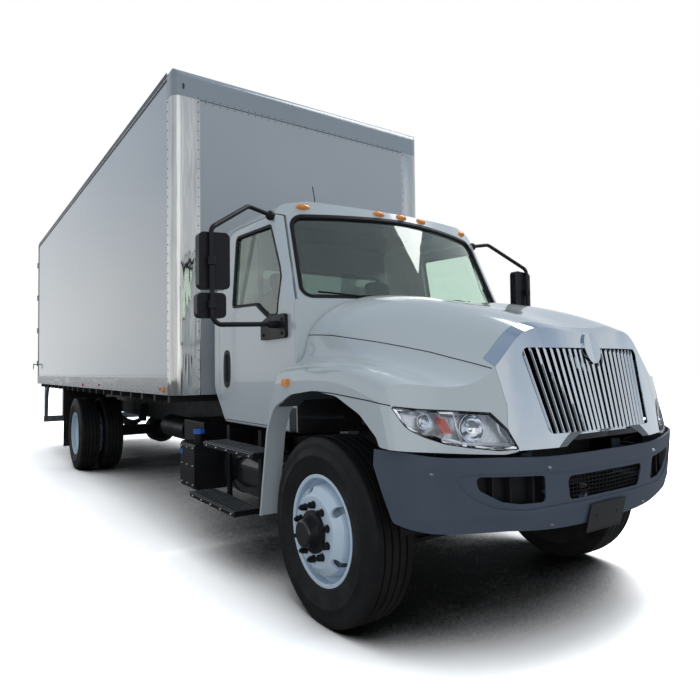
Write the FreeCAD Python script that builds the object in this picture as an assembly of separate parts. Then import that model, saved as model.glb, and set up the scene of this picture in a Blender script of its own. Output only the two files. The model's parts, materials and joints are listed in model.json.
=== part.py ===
import FreeCAD, Part
import math
import os

from FreeCAD import Vector

# A medium-duty box truck with a conventional cab, dry freight body and dual rear wheels.
# Millimetres. +X points forward, +Y to the vehicle's left, +Z up, Z = 0 is the ground.
# Shapes are laid out with X = 0 at the front axle and moved at export, so that the origin
# ends up on the ground under the middle of the overall length.

# Overall layout
WHEELBASE = 6453.0
FRONT_OVERHANG = 1019.0
CARGO_LENGTH = 7946.0
CARGO_WIDTH = 2590.0
CARGO_FRONT_X = -1862.0
CARGO_BOTTOM_Z = 1181.0
CARGO_TOP_Z = 3828.0
REAR_HARDWARE = 60.0
RUNNING_GAP = 5.0
SEAT_GAP = 0.3

# Wheels and tyres
TYRE_OD = 1012.0
TYRE_WIDTH = 276.0
TYRE_BEAD_RADIUS = 286.0
TYRE_TREAD_WIDTH = 226.0
TYRE_BELLY_RADIUS = 400.0
RIM_FLANGE_RADIUS = 299.0
RIM_WIDTH = 232.0
RIM_FLANGE_THICKNESS = 6.0
RIM_WELL_RADIUS = 258.0
RIM_THICKNESS = 9.0
DISC_THICKNESS = 11.0
DISC_OFFSET = 155.5
DISC_FLAT_RADIUS = 190.0
HUB_BORE_RADIUS = 110.0
HAND_HOLES = 5
HAND_HOLE_RADIUS = 26.0
HAND_HOLE_CIRCLE = 222.0
FRONT_TRACK_HALF = 989.0
REAR_TRACK_HALF = 941.5
FRONT_HUB_CAP_RADIUS = 78.0
FRONT_HUB_CAP_LENGTH = 78.0
REAR_HUB_RADIUS = 106.0
REAR_HUB_LENGTH = 120.0
REAR_HUB_END = 16.0
DRUM_RADIUS = 208.0
DRUM_WALL = 16.0
DRUM_LENGTH = 110.0
HUB_FLANGE_GROWTH = 60.0
DRUM_HUB_DEPTH = 24.0
FRONT_HUB_IN = 50.0
REAR_HUB_BACK = 150.0
SPINDLE_RADIUS = 42.0
SPINDLE_CLEARANCE = 0.05
SPINDLE_TIP = 170.0
SPINDLE_END_GAP = 4.0

# Steering and front axle
KINGPIN_HALF = 850.0
KINGPIN_RADIUS = 20.0
KINGPIN_CLEARANCE = 0.05
BOSS_RADIUS = 42.0
BOSS_HEIGHT = 110.0
YOKE_EAR_HEIGHT = 34.0
BEAM_WIDTH = 92.0
BEAM_HEIGHT = 104.0
BEAM_DROP = 112.0
BEAM_PAD_HALF = 520.0
STEER_ARM_LENGTH = 190.0
TIE_ROD_RADIUS = 17.0
TIE_ROD_DROP = 70.0
TIE_ROD_EYE_RADIUS = 26.0
TIE_ROD_EYE_HEIGHT = 44.0
TIE_ROD_PIN_RADIUS = 12.0
STEER_ARM_HALF = 14.0
YOKE_GAP = 1.0

# Chassis
RAIL_OUTER_HALF = 432.0
RAIL_TOP_Z = 1010.0
RAIL_HEIGHT = 262.0
RAIL_FLANGE = 82.0
RAIL_THICKNESS = 9.5
RAIL_FRONT_X = 800.0
CROSSMEMBER_COUNT = 7
SPRING_WIDTH = 76.0
FRONT_SPRING_LENGTH = 1420.0
REAR_SPRING_LENGTH = 1500.0
SPRING_LEAF = 16.0
FRONT_LEAVES = 3
REAR_LEAVES = 5
REAR_SEAT_RISE = 75.0
GEARBOX_REAR_X = -1320.0
SHROUD_RADIUS = 330.0
AXLE_NOSE_X = 330.0

# Cab
CAB_WIDTH = 2032.0
CAB_ROOF_HALF = 945.0
CAB_BACK_X = -1700.0
CAB_BOTTOM_Z = 985.0
CAB_BELT_Z = 1800.0
CAB_ROOF_Z = 2588.0
CAB_WALL = 56.0
GLASS_INSET = 16.0
GLASS_THICKNESS = 6.0
CAB_NOSE_X = -235.0
CAB_NOSE_BOW = 165.0
DOOR_FRONT_X = -417.0
DOOR_REAR_X = -1600.0
DOOR_BOTTOM_Z = 1010.0
DOOR_HINGE_X = -424.0
DOOR_HINGE_Y = 1009.0
DOOR_HEEL = 9.5
FLOOR_TOP_Z = 1041.0
WINDSHIELD_X = -275.0
WINDSHIELD_BASE_Z = 1806.0
WINDSHIELD_LEAN = 0.475
WINDSHIELD_BOW = 215.0
DOOR_GAP = 5.0

# Hood
HOOD_WALL = 10.0
NOSE_LEAN = 0.223
NOSE_REF_Z = 1056.0
HOOD_REAR_X = -372.0
SKIRT_INNER_Y = 1030.0
HOOD_PIVOT_X = 932.0
HOOD_PIVOT_Z = 1012.0
HOOD_PIVOT_Y = 462.0
HOOD_PIN_RADIUS = 10.0
HOOD_BARREL_RADIUS = 20.0
HOOD_ARM_THICKNESS = 14.0
HOOD_ARM_TIP = 17.0
SURROUND_BOTTOM_Z = 998.0
NOSE_BEAM_Z = 1018.0
NOSE_BEAM_HEIGHT = 24.0
ARCH_RETURN = 9.0
ARCH_RETURN_INNER_Y = 1052.0
LAMP_DEPTH = 62.0
LINER_INNER_Y = 640.0
LINER_THICKNESS = 6.0
GRILLE_BARS = 22
PANEL_GAP = 1.5
HOOD_STATIONS = (
    # x, centre top, shoulder (y, z), seam (y, z), valley (y, z), crest (y, z), lip (y, z)
    (-620.0, 1862.0, (700.0, 1822.0), (958.0, 1600.0), (1000.0, 1440.0), (1096.0, 1368.0), (1172.0, 1262.0)),
    (-385.0, 1850.0, (690.0, 1808.0), (948.0, 1584.0), (994.0, 1440.0), (1098.0, 1386.0), (1176.0, 1290.0)),
    (60.0, 1795.0, (640.0, 1752.0), (884.0, 1522.0), (966.0, 1432.0), (1092.0, 1408.0), (1180.0, 1318.0)),
    (450.0, 1708.0, (560.0, 1668.0), (784.0, 1452.0), (900.0, 1378.0), (1064.0, 1372.0), (1176.0, 1270.0)),
    (800.0, 1592.0, (500.0, 1556.0), (690.0, 1372.0), (800.0, 1300.0), (980.0, 1262.0), (1130.0, 1130.0)),
    (1000.0, 1500.0, (450.0, 1466.0), (620.0, 1300.0), (720.0, 1220.0), (900.0, 1170.0), (1080.0, 1030.0)),
)
HOOD_BOTTOM_Z = 470.0

# Bumper
BUMPER_BOTTOM_Z = 592.0
BUMPER_WALL = 12.0
BUMPER_LEAN = -0.10
BUMPER_REF_Z = 961.0
BUMPER_RIDGE_Z = 700.0
BUMPER_LOW_LEAN = -0.30
BUMPER_RECESS = 6.0
PLATE_HOLE_RADIUS = 4.0
PLATE_HOLE_SPACING = 178.0
PLATE_HOLE_Z = 668.0

# Cargo body
SIDE_WALL = 25.0
RAIL_PROUD = 5.0
BOTTOM_RAIL_TOP_Z = 1320.0
CARGO_FLOOR_TOP_Z = 1290.0
CARGO_FLOOR_THICKNESS = 45.0
TOP_RAIL_Z = 3762.0
CAP_SEAM_Z = 3595.0
POST_FRONT_REACH = 225.0
POST_SIDE_REACH = 150.0
POST_RADIUS = 120.0
POST_WALL = 28.0
FRAME_DEPTH = 100.0
DOORWAY_HALF = 1195.0
DOORWAY_BOTTOM_Z = 1292.0
SILL_PROUD = 6.0
SILL_HALF = 700.0
DOORWAY_TOP_Z = 3690.0
CARGO_DOOR_THICKNESS = 40.0
CARGO_HINGES = 4
CARGO_HINGE_PIN_RADIUS = 8.0
CROSS_SILLS = 20
GUARD_BOTTOM_Z = 452.0


def rounded_face(points, to_vector, radius=0.0):
    """Return a flat face from (u, v) or (u, v, r) corners, each corner rounded by an arc."""
    count = len(points)
    corners = []
    for index, point in enumerate(points):
        here = to_vector(point[0], point[1])
        corner_radius = point[2] if len(point) > 2 else radius
        before = points[index - 1]
        after = points[(index + 1) % count]
        to_before = (to_vector(before[0], before[1]) - here)
        to_after = (to_vector(after[0], after[1]) - here)
        corners.append(round_corner(here, to_before, to_after, corner_radius))
    edges = []
    for index, corner in enumerate(corners):
        following = corners[(index + 1) % count]
        if corner[1] is not None:
            edges.append(Part.Arc(corner[0], corner[1], corner[2]).toShape())
        if (following[0] - corner[2]).Length > 1e-6:
            edges.append(Part.makeLine(corner[2], following[0]))
    return Part.Face(Part.Wire(edges))


def round_corner(here, to_before, to_after, radius):
    """Return the start, middle and end of the arc that rounds one corner."""
    unit_before = Vector(to_before).normalize()
    unit_after = Vector(to_after).normalize()
    half = unit_before.getAngle(unit_after) / 2.0
    if radius <= 0.0 or half > math.pi / 2 - 1e-4:
        return here, None, here
    reach = radius / math.tan(half)
    reach = min(reach, 0.499 * to_before.Length, 0.499 * to_after.Length)
    used = reach * math.tan(half)
    toward = (unit_before + unit_after).normalize()
    centre = here + toward * (used / math.sin(half))
    return here + unit_before * reach, centre - toward * used, here + unit_after * reach


def plane_xz(y):
    return lambda u, v: Vector(u, y, v)


def plane_yz(x):
    return lambda u, v: Vector(x, u, v)


def plane_xy(z):
    return lambda u, v: Vector(u, v, z)


def prism_y(points, y0, y1, radius=0.0):
    return rounded_face(points, plane_xz(y0), radius).extrude(Vector(0, y1 - y0, 0))


def prism_x(points, x0, x1, radius=0.0):
    return rounded_face(points, plane_yz(x0), radius).extrude(Vector(x1 - x0, 0, 0))


def prism_z(points, z0, z1, radius=0.0):
    return rounded_face(points, plane_xy(z0), radius).extrude(Vector(0, 0, z1 - z0))


def block(x0, x1, y0, y1, z0, z1):
    return Part.makeBox(x1 - x0, y1 - y0, z1 - z0, Vector(x0, y0, z0))


def round_block(x0, x1, y0, y1, z0, z1, radius):
    """A block whose edges along X are rounded."""
    return prism_x([(y0, z0), (y1, z0), (y1, z1), (y0, z1)], x0, x1, radius)


def cylinder(radius, start, end):
    axis = end - start
    return Part.makeCylinder(radius, axis.Length, start, axis)


def rod_path(points, radius, bend):
    """A round rod along straight runs that are joined by tangent arcs."""
    solids = []
    edges = []
    ends = [points[0]]
    for index in range(1, len(points) - 1):
        start, middle, end = round_corner(points[index], points[index - 1] - points[index],
                                          points[index + 1] - points[index], bend)
        edges.append(Part.makeLine(ends[-1], start))
        edges.append(Part.Arc(start, middle, end).toShape())
        ends.append(end)
    edges.append(Part.makeLine(ends[-1], points[-1]))
    spine = Part.Wire(edges)
    direction = points[1] - points[0]
    section = Part.Wire(Part.makeCircle(radius, points[0], direction))
    solids.append(spine.makePipeShell([section], True, False))
    return solids[0]


def mirrored(shape):
    return shape.mirror(Vector(0, 0, 0), Vector(0, 1, 0))


def both_sides(shape):
    return [shape, mirrored(shape)]


def fuse(shapes):
    first = shapes[0]
    if len(shapes) == 1:
        return first
    return first.fuse(shapes[1:]).removeSplitter()


def revolve_about_y(points, radius=0.0):
    """Revolve an (r, w) outline about the Y axis; w runs along Y."""
    face = rounded_face([(point[0], point[1]) + tuple(point[2:]) for point in points],
                        lambda r, w: Vector(r, w, 0), radius)
    return face.revolve(Vector(0, 0, 0), Vector(0, 1, 0), 360)


def place(shape, x, y, z):
    moved = shape.copy()
    moved.translate(Vector(x, y, z))
    return moved


NODES = {}


def keep(name, shapes):
    """Store one named node; a list becomes solids that share the node."""
    if not isinstance(shapes, list):
        shapes = [shapes]
    NODES[name] = shapes


# Wheels: built for the left side, outboard is +Y, with the tyre's middle plane at y = 0.

def bead_slope():
    """How fast the sidewall spreads outward with radius, from the bead to the belly."""
    return (TYRE_WIDTH / 2.0 - tyre_bead()) / (TYRE_BELLY_RADIUS - TYRE_BEAD_RADIUS - SEAT_GAP)


def tyre_bead():
    return RIM_WIDTH / 2.0 - RIM_FLANGE_THICKNESS - SEAT_GAP


def make_tyre():
    """A closed ring: bead seat, sidewalls that bulge to the belly, and a flat tread."""
    outer = TYRE_OD / 2.0
    half = TYRE_WIDTH / 2.0
    tread = TYRE_TREAD_WIDTH / 2.0
    bead = tyre_bead()
    seat = TYRE_BEAD_RADIUS + SEAT_GAP
    return revolve_about_y([(seat, -bead), (TYRE_BELLY_RADIUS, -half), (outer, -tread), (outer, tread),
                            (TYRE_BELLY_RADIUS, half), (seat, bead)])


def make_rim():
    """The rim ring alone, open in its middle, with flanges that follow the tyre's sidewall."""
    edge = RIM_WIDTH / 2.0
    flange = edge - RIM_FLANGE_THICKNESS
    lip = tyre_bead() + bead_slope() * (RIM_FLANGE_RADIUS - TYRE_BEAD_RADIUS) + SEAT_GAP
    tip = RIM_FLANGE_RADIUS
    seat = TYRE_BEAD_RADIUS
    inner = seat - RIM_THICKNESS
    well = RIM_WELL_RADIUS
    well_in = well - RIM_THICKNESS
    ledge = edge - 46.0
    return revolve_about_y([
        (tip, edge + 1.0, 2.0), (tip, lip), (seat, flange), (seat, ledge), (well, ledge - 26.0),
        (well, 26.0 - ledge), (seat, -ledge), (seat, -flange), (tip, -lip), (tip, -edge - 1.0, 2.0),
        (inner, -edge - 1.0, 8.0), (inner, 4.0 - ledge), (well_in, 32.0 - ledge),
        (well_in, ledge - 32.0), (inner, ledge - 4.0), (inner, edge + 1.0, 8.0)])


def make_disc():
    """The wheel's disc: flat where it meets the hub, then a cone back to the rim well."""
    face_out = DISC_OFFSET
    face_in = face_out - DISC_THICKNESS
    edge = RIM_WELL_RADIUS - RIM_THICKNESS + 1.0
    root_out = 38.0
    root_in = root_out - DISC_THICKNESS - 6.0
    knee = 236.0
    disc = revolve_about_y([
        (HUB_BORE_RADIUS, face_in), (HUB_BORE_RADIUS, face_out),
        (DISC_FLAT_RADIUS, face_out, 20.0), (knee, face_out - 34.0, 20.0), (edge, root_out),
        (edge, root_in), (knee - 10.0, face_in - 34.0), (DISC_FLAT_RADIUS - 6.0, face_in)])
    holes = []
    for index in range(HAND_HOLES):
        angle = 2.0 * math.pi * (index + 0.5) / HAND_HOLES
        x = HAND_HOLE_CIRCLE * math.cos(angle)
        z = HAND_HOLE_CIRCLE * math.sin(angle)
        holes.append(Part.makeCylinder(HAND_HOLE_RADIUS, 260.0, Vector(x, 0, z), Vector(0, 1, 0)))
    return disc.cut(holes)


def make_front_wheel():
    hub_in = FRONT_HUB_IN
    face = DISC_OFFSET
    bore = SPINDLE_RADIUS + SPINDLE_CLEARANCE
    hub = revolve_about_y([
        (bore, hub_in), (HUB_BORE_RADIUS + HUB_FLANGE_GROWTH, hub_in, 6.0),
        (HUB_BORE_RADIUS + HUB_FLANGE_GROWTH, face - DISC_THICKNESS, 4.0),
        (HUB_BORE_RADIUS, face - DISC_THICKNESS), (HUB_BORE_RADIUS, face + 6.0, 4.0),
        (FRONT_HUB_CAP_RADIUS, face + 14.0, 4.0),
        (FRONT_HUB_CAP_RADIUS - 6.0, face + FRONT_HUB_CAP_LENGTH, 14.0),
        (0.0, face + FRONT_HUB_CAP_LENGTH), (0.0, SPINDLE_TIP + SPINDLE_END_GAP),
        (bore, SPINDLE_TIP + SPINDLE_END_GAP)])
    drum = make_drum(hub_in)
    return fuse([make_rim(), make_disc(), hub, drum])


def make_drum(hub_face):
    """Brake drum: an open pan whose mouth faces inboard."""
    outer = DRUM_RADIUS
    inner = outer - DRUM_WALL
    back = hub_face + DRUM_HUB_DEPTH
    mouth = back - DRUM_LENGTH
    return revolve_about_y([
        (HUB_BORE_RADIUS, hub_face), (HUB_BORE_RADIUS, back),
        (outer, back, 10.0), (outer, mouth), (inner, mouth), (inner, hub_face, 6.0)])


def make_rear_wheel_pair():
    """Two dished wheels back to back on one hub; y = 0 is the plane where they meet."""
    outer_wheel = mirrored(fuse([make_rim(), make_disc()]))
    outer_wheel.translate(Vector(0, DISC_OFFSET, 0))
    inner_wheel = fuse([make_rim(), make_disc()])
    inner_wheel.translate(Vector(0, -DISC_OFFSET, 0))
    bore = SPINDLE_RADIUS + SPINDLE_CLEARANCE
    hub = revolve_about_y([
        (bore, -REAR_HUB_BACK), (HUB_BORE_RADIUS + HUB_FLANGE_GROWTH, -REAR_HUB_BACK, 6.0),
        (HUB_BORE_RADIUS + HUB_FLANGE_GROWTH, -DISC_THICKNESS, 4.0),
        (HUB_BORE_RADIUS, -DISC_THICKNESS), (HUB_BORE_RADIUS, DISC_THICKNESS),
        (REAR_HUB_RADIUS, DISC_THICKNESS + 2.0), (REAR_HUB_RADIUS, REAR_HUB_LENGTH, 8.0),
        (0.0, REAR_HUB_LENGTH), (0.0, REAR_HUB_LENGTH - REAR_HUB_END),
        (bore, REAR_HUB_LENGTH - REAR_HUB_END)])
    drum = make_drum(-REAR_HUB_BACK)
    return fuse([outer_wheel, inner_wheel, hub, drum])


def add_wheels():
    radius = TYRE_OD / 2.0
    tyre = make_tyre()
    front_wheel = make_front_wheel()
    rear_pair = make_rear_wheel_pair()
    front_tyre = place(tyre, 0, FRONT_TRACK_HALF, radius)
    front = place(front_wheel, 0, FRONT_TRACK_HALF, radius)
    outer_tyre = place(tyre, -WHEELBASE, REAR_TRACK_HALF + DISC_OFFSET, radius)
    inner_tyre = place(tyre, -WHEELBASE, REAR_TRACK_HALF - DISC_OFFSET, radius)
    rear = place(rear_pair, -WHEELBASE, REAR_TRACK_HALF, radius)
    keep("front_left_tyre", front_tyre)
    keep("front_left_wheel", front)
    keep("rear_left_tyres", [outer_tyre, inner_tyre])
    keep("rear_left_wheels", rear)
    keep("front_right_tyre", mirrored(front_tyre))
    keep("front_right_wheel", mirrored(front))
    keep("rear_right_tyres", [mirrored(outer_tyre), mirrored(inner_tyre)])
    keep("rear_right_wheels", mirrored(rear))


# Front axle, knuckles and tie rod

def add_front_axle():
    radius = TYRE_OD / 2.0
    low = radius - BEAM_DROP
    half = BEAM_WIDTH / 2.0
    beam_face = [(-KINGPIN_HALF, radius - 40.0), (-KINGPIN_HALF, radius + 40.0),
                 (-KINGPIN_HALF + 90.0, radius + 34.0), (-BEAM_PAD_HALF, low + BEAM_HEIGHT / 2.0, 60.0),
                 (BEAM_PAD_HALF, low + BEAM_HEIGHT / 2.0, 60.0), (KINGPIN_HALF - 90.0, radius + 34.0),
                 (KINGPIN_HALF, radius + 40.0), (KINGPIN_HALF, radius - 40.0),
                 (KINGPIN_HALF - 110.0, radius - 50.0), (BEAM_PAD_HALF - 20.0, low - BEAM_HEIGHT / 2.0, 60.0),
                 (20.0 - BEAM_PAD_HALF, low - BEAM_HEIGHT / 2.0, 60.0), (110.0 - KINGPIN_HALF, radius - 50.0)]
    beam = prism_x(beam_face, -half, half)
    web_cut = []
    for side in (-1.0, 1.0):
        x0 = side * (half - 30.0) if side > 0 else -half - 1.0
        x1 = half + 1.0 if side > 0 else 30.0 - half
        web_cut.append(block(x0, x1, -BEAM_PAD_HALF + 60.0, BEAM_PAD_HALF - 60.0,
                             low - BEAM_HEIGHT / 2.0 + 20.0, low + BEAM_HEIGHT / 2.0 - 20.0))
    beam = beam.cut(web_cut)
    ends = []
    for side in (-1.0, 1.0):
        centre = Vector(0, side * KINGPIN_HALF, radius - BOSS_HEIGHT / 2.0)
        trim = Part.makeCylinder(BOSS_RADIUS + 60.0, BOSS_HEIGHT + 60.0,
                                 centre - Vector(0, 0, 30.0), Vector(0, 0, 1))
        outboard = block(-200.0, 200.0, *sorted((side * KINGPIN_HALF, side * (KINGPIN_HALF + 200.0))),
                         0.0, 1000.0)
        beam = beam.cut(outboard.common(trim))
        ends.append(Part.makeCylinder(BOSS_RADIUS, BOSS_HEIGHT, centre, Vector(0, 0, 1)))
        pin_reach = BOSS_HEIGHT + 2.0 * (YOKE_EAR_HEIGHT + 1.0)
        ends.append(Part.makeCylinder(KINGPIN_RADIUS, pin_reach,
                                      Vector(0, side * KINGPIN_HALF, radius - pin_reach / 2.0)))
    keep("front_axle_beam", fuse([beam] + ends))


def make_knuckle():
    """Left knuckle: yoke ears above and below the beam's boss, spindle, steering arm."""
    radius = TYRE_OD / 2.0
    ear_radius = BOSS_RADIUS
    back_face = KINGPIN_HALF + BOSS_RADIUS + RUNNING_GAP
    plate_out = back_face + 14.0
    pieces = []
    for side in (-1.0, 1.0):
        z0 = radius + side * (BOSS_HEIGHT / 2.0 + YOKE_GAP)
        z1 = z0 + side * YOKE_EAR_HEIGHT
        low, high = min(z0, z1), max(z0, z1)
        pieces.append(Part.makeCylinder(ear_radius, high - low, Vector(0, KINGPIN_HALF, low)))
        pieces.append(block(-ear_radius, ear_radius, KINGPIN_HALF, plate_out, low, high))
    span = BOSS_HEIGHT / 2.0 + YOKE_GAP + YOKE_EAR_HEIGHT
    pieces.append(block(-62.0, 62.0, back_face, plate_out, radius - span, radius + span))
    spindle_end = FRONT_TRACK_HALF + SPINDLE_TIP
    pieces.append(cylinder(SPINDLE_RADIUS, Vector(0, back_face, radius), Vector(0, spindle_end, radius)))
    shield_y = FRONT_TRACK_HALF + FRONT_HUB_IN + DRUM_HUB_DEPTH - DRUM_LENGTH - RUNNING_GAP
    pieces.append(cylinder(DRUM_RADIUS - DRUM_WALL, Vector(0, back_face, radius), Vector(0, shield_y, radius)))
    arm_z = radius - span + YOKE_EAR_HEIGHT / 2.0
    arm_end = Vector(-STEER_ARM_LENGTH, KINGPIN_HALF, arm_z)
    pieces.append(block(-STEER_ARM_LENGTH, -10.0, KINGPIN_HALF - 22.0, KINGPIN_HALF + 22.0,
                        arm_z - STEER_ARM_HALF, arm_z + STEER_ARM_HALF))
    pieces.append(Part.makeCylinder(TIE_ROD_EYE_RADIUS, 2.0 * STEER_ARM_HALF,
                                    arm_end - Vector(0, 0, STEER_ARM_HALF)))
    pin_reach = TIE_ROD_DROP + 10.0
    pieces.append(Part.makeCylinder(TIE_ROD_PIN_RADIUS, pin_reach, arm_end - Vector(0, 0, pin_reach)))
    knuckle = fuse(pieces)
    pin_hole = Part.makeCylinder(KINGPIN_RADIUS + KINGPIN_CLEARANCE, 2.0 * span + 20.0,
                                 Vector(0, KINGPIN_HALF, radius - span - 10.0))
    return knuckle.cut(pin_hole)


def add_steering():
    radius = TYRE_OD / 2.0
    knuckle = make_knuckle()
    keep("steering_knuckle_left", knuckle)
    keep("steering_knuckle_right", mirrored(knuckle))
    span = BOSS_HEIGHT / 2.0 + YOKE_GAP + YOKE_EAR_HEIGHT
    rod_z = radius - span + YOKE_EAR_HEIGHT / 2.0 - TIE_ROD_DROP + STEER_ARM_HALF
    rod = cylinder(TIE_ROD_RADIUS, Vector(-STEER_ARM_LENGTH, -KINGPIN_HALF + 20.0, rod_z),
                   Vector(-STEER_ARM_LENGTH, KINGPIN_HALF - 20.0, rod_z))
    eyes = []
    holes = []
    for side in (-1.0, 1.0):
        low = Vector(-STEER_ARM_LENGTH, side * KINGPIN_HALF, rod_z - TIE_ROD_EYE_HEIGHT / 2.0)
        eyes.append(Part.makeCylinder(TIE_ROD_EYE_RADIUS, TIE_ROD_EYE_HEIGHT, low))
        holes.append(Part.makeCylinder(TIE_ROD_PIN_RADIUS + KINGPIN_CLEARANCE, 2.0 * TIE_ROD_EYE_HEIGHT,
                                       low - Vector(0, 0, TIE_ROD_EYE_HEIGHT / 2.0)))
    keep("tie_rod", fuse([rod] + eyes).cut(holes))


# Chassis frame and running gear

def add_frame():
    cargo_rear_x = CARGO_FRONT_X - CARGO_LENGTH
    bottom = RAIL_TOP_Z - RAIL_HEIGHT
    outer = RAIL_OUTER_HALF
    inner = outer - RAIL_FLANGE
    web = outer - RAIL_THICKNESS
    channel = [(outer, bottom), (outer, RAIL_TOP_Z), (inner, RAIL_TOP_Z),
               (inner, RAIL_TOP_Z - RAIL_THICKNESS), (web, RAIL_TOP_Z - RAIL_THICKNESS),
               (web, bottom + RAIL_THICKNESS), (inner, bottom + RAIL_THICKNESS), (inner, bottom)]
    rear_end = cargo_rear_x + 60.0
    rail = prism_x(channel, rear_end, RAIL_FRONT_X)
    pieces = both_sides(rail)
    first = -1500.0
    step = (rear_end + 300.0 - first) / (CROSSMEMBER_COUNT - 1)
    for index in range(CROSSMEMBER_COUNT):
        x = first + step * index
        pieces.append(block(x - 40.0, x + 40.0, -web, web, RAIL_TOP_Z - 136.0, RAIL_TOP_Z - 30.0))
    pieces.append(block(RAIL_FRONT_X - 70.0, RAIL_FRONT_X - 10.0, -web, web, bottom + 10.0, bottom + 90.0))
    arm = prism_y([(RAIL_FRONT_X - 110.0, RAIL_TOP_Z - 90.0), (RAIL_FRONT_X + 30.0, RAIL_TOP_Z - 60.0),
                   (HOOD_PIVOT_X, HOOD_PIVOT_Z - HOOD_ARM_TIP), (HOOD_PIVOT_X, HOOD_PIVOT_Z + HOOD_ARM_TIP),
                   (RAIL_FRONT_X + 60.0, RAIL_TOP_Z, 30.0), (RAIL_FRONT_X - 110.0, RAIL_TOP_Z)],
                  outer, outer + HOOD_ARM_THICKNESS)
    tip = cylinder(HOOD_ARM_TIP, Vector(HOOD_PIVOT_X, outer, HOOD_PIVOT_Z),
                   Vector(HOOD_PIVOT_X, outer + HOOD_ARM_THICKNESS, HOOD_PIVOT_Z))
    arm = fuse([arm, tip])
    pin = cylinder(HOOD_PIN_RADIUS, Vector(HOOD_PIVOT_X, outer, HOOD_PIVOT_Z),
                   Vector(HOOD_PIVOT_X, HOOD_PIVOT_Y + 14.0, HOOD_PIVOT_Z))
    pieces += both_sides(arm) + both_sides(pin)
    keep("frame_rails", fuse(pieces))


def leaf_pack(length, centre_x, arch, top_z, leaves, thickness):
    """A leaf spring pack as stacked bowed leaves, each shorter than the one above."""
    packs = []
    for index in range(leaves):
        half = length / 2.0 * (1.0 - 0.16 * index)
        drop = arch * (half / (length / 2.0)) ** 2
        z = top_z - thickness * index
        upper_mid = Vector(centre_x, 0, z - arch)
        upper = Part.Arc(Vector(centre_x - half, 0, z - arch + drop), upper_mid,
                         Vector(centre_x + half, 0, z - arch + drop)).toShape()
        lower = Part.Arc(Vector(centre_x - half, 0, z - arch + drop - thickness),
                         upper_mid - Vector(0, 0, thickness),
                         Vector(centre_x + half, 0, z - arch + drop - thickness)).toShape()
        wire = Part.Wire(Part.__sortEdges__([
            upper, lower,
            Part.makeLine(upper.Vertexes[0].Point, lower.Vertexes[0].Point),
            Part.makeLine(upper.Vertexes[-1].Point, lower.Vertexes[-1].Point)]))
        packs.append(Part.Face(wire).extrude(Vector(0, SPRING_WIDTH, 0)))
    pack = fuse(packs)
    pack.translate(Vector(0, -SPRING_WIDTH / 2.0, 0))
    return pack


def add_springs():
    rail_bottom = RAIL_TOP_Z - RAIL_HEIGHT
    radius = TYRE_OD / 2.0
    front_seat = radius - BEAM_DROP + BEAM_HEIGHT / 2.0
    rear_seat = radius + REAR_SEAT_RISE
    front_y = RAIL_OUTER_HALF - 40.0
    rear_y = RAIL_OUTER_HALF + 6.0 + SPRING_WIDTH / 2.0
    front_end_z = rail_bottom - 40.0
    rear_end_z = rail_bottom - 10.0
    front_depth = FRONT_LEAVES * SPRING_LEAF
    rear_depth = REAR_LEAVES * SPRING_LEAF
    front_arch = front_end_z - front_seat - front_depth
    front = leaf_pack(FRONT_SPRING_LENGTH, 0.0, front_arch,
                      front_seat + front_depth + front_arch + SEAT_GAP, FRONT_LEAVES, SPRING_LEAF)
    rear_arch = rear_end_z - rear_seat - rear_depth
    rear = leaf_pack(REAR_SPRING_LENGTH, -WHEELBASE, rear_arch,
                     rear_seat + rear_depth + rear_arch + SEAT_GAP, REAR_LEAVES, SPRING_LEAF)
    packs = []
    for x in (-FRONT_SPRING_LENGTH / 2.0, FRONT_SPRING_LENGTH / 2.0):
        hanger = block(x - 34.0, x + 34.0, -SPRING_WIDTH / 2.0 - 6.0, SPRING_WIDTH / 2.0 + 6.0,
                       front_end_z - 46.0, rail_bottom - SEAT_GAP)
        front = front.fuse(hanger)
    front = front.removeSplitter()
    for x in (-WHEELBASE - REAR_SPRING_LENGTH / 2.0, -WHEELBASE + REAR_SPRING_LENGTH / 2.0):
        hanger = prism_y([(x - 60.0, rail_bottom + 180.0), (x + 60.0, rail_bottom + 180.0),
                          (x + 36.0, rear_end_z - 50.0), (x - 36.0, rear_end_z - 50.0)],
                         -SPRING_WIDTH / 2.0 - 6.0 + SEAT_GAP, SPRING_WIDTH / 2.0 + 6.0, 14.0)
        rear = rear.fuse(hanger)
    rear = rear.removeSplitter()
    packs += both_sides(place(front, 0, front_y, 0))
    packs += both_sides(place(rear, 0, rear_y, 0))
    keep("leaf_springs", packs)


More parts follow.
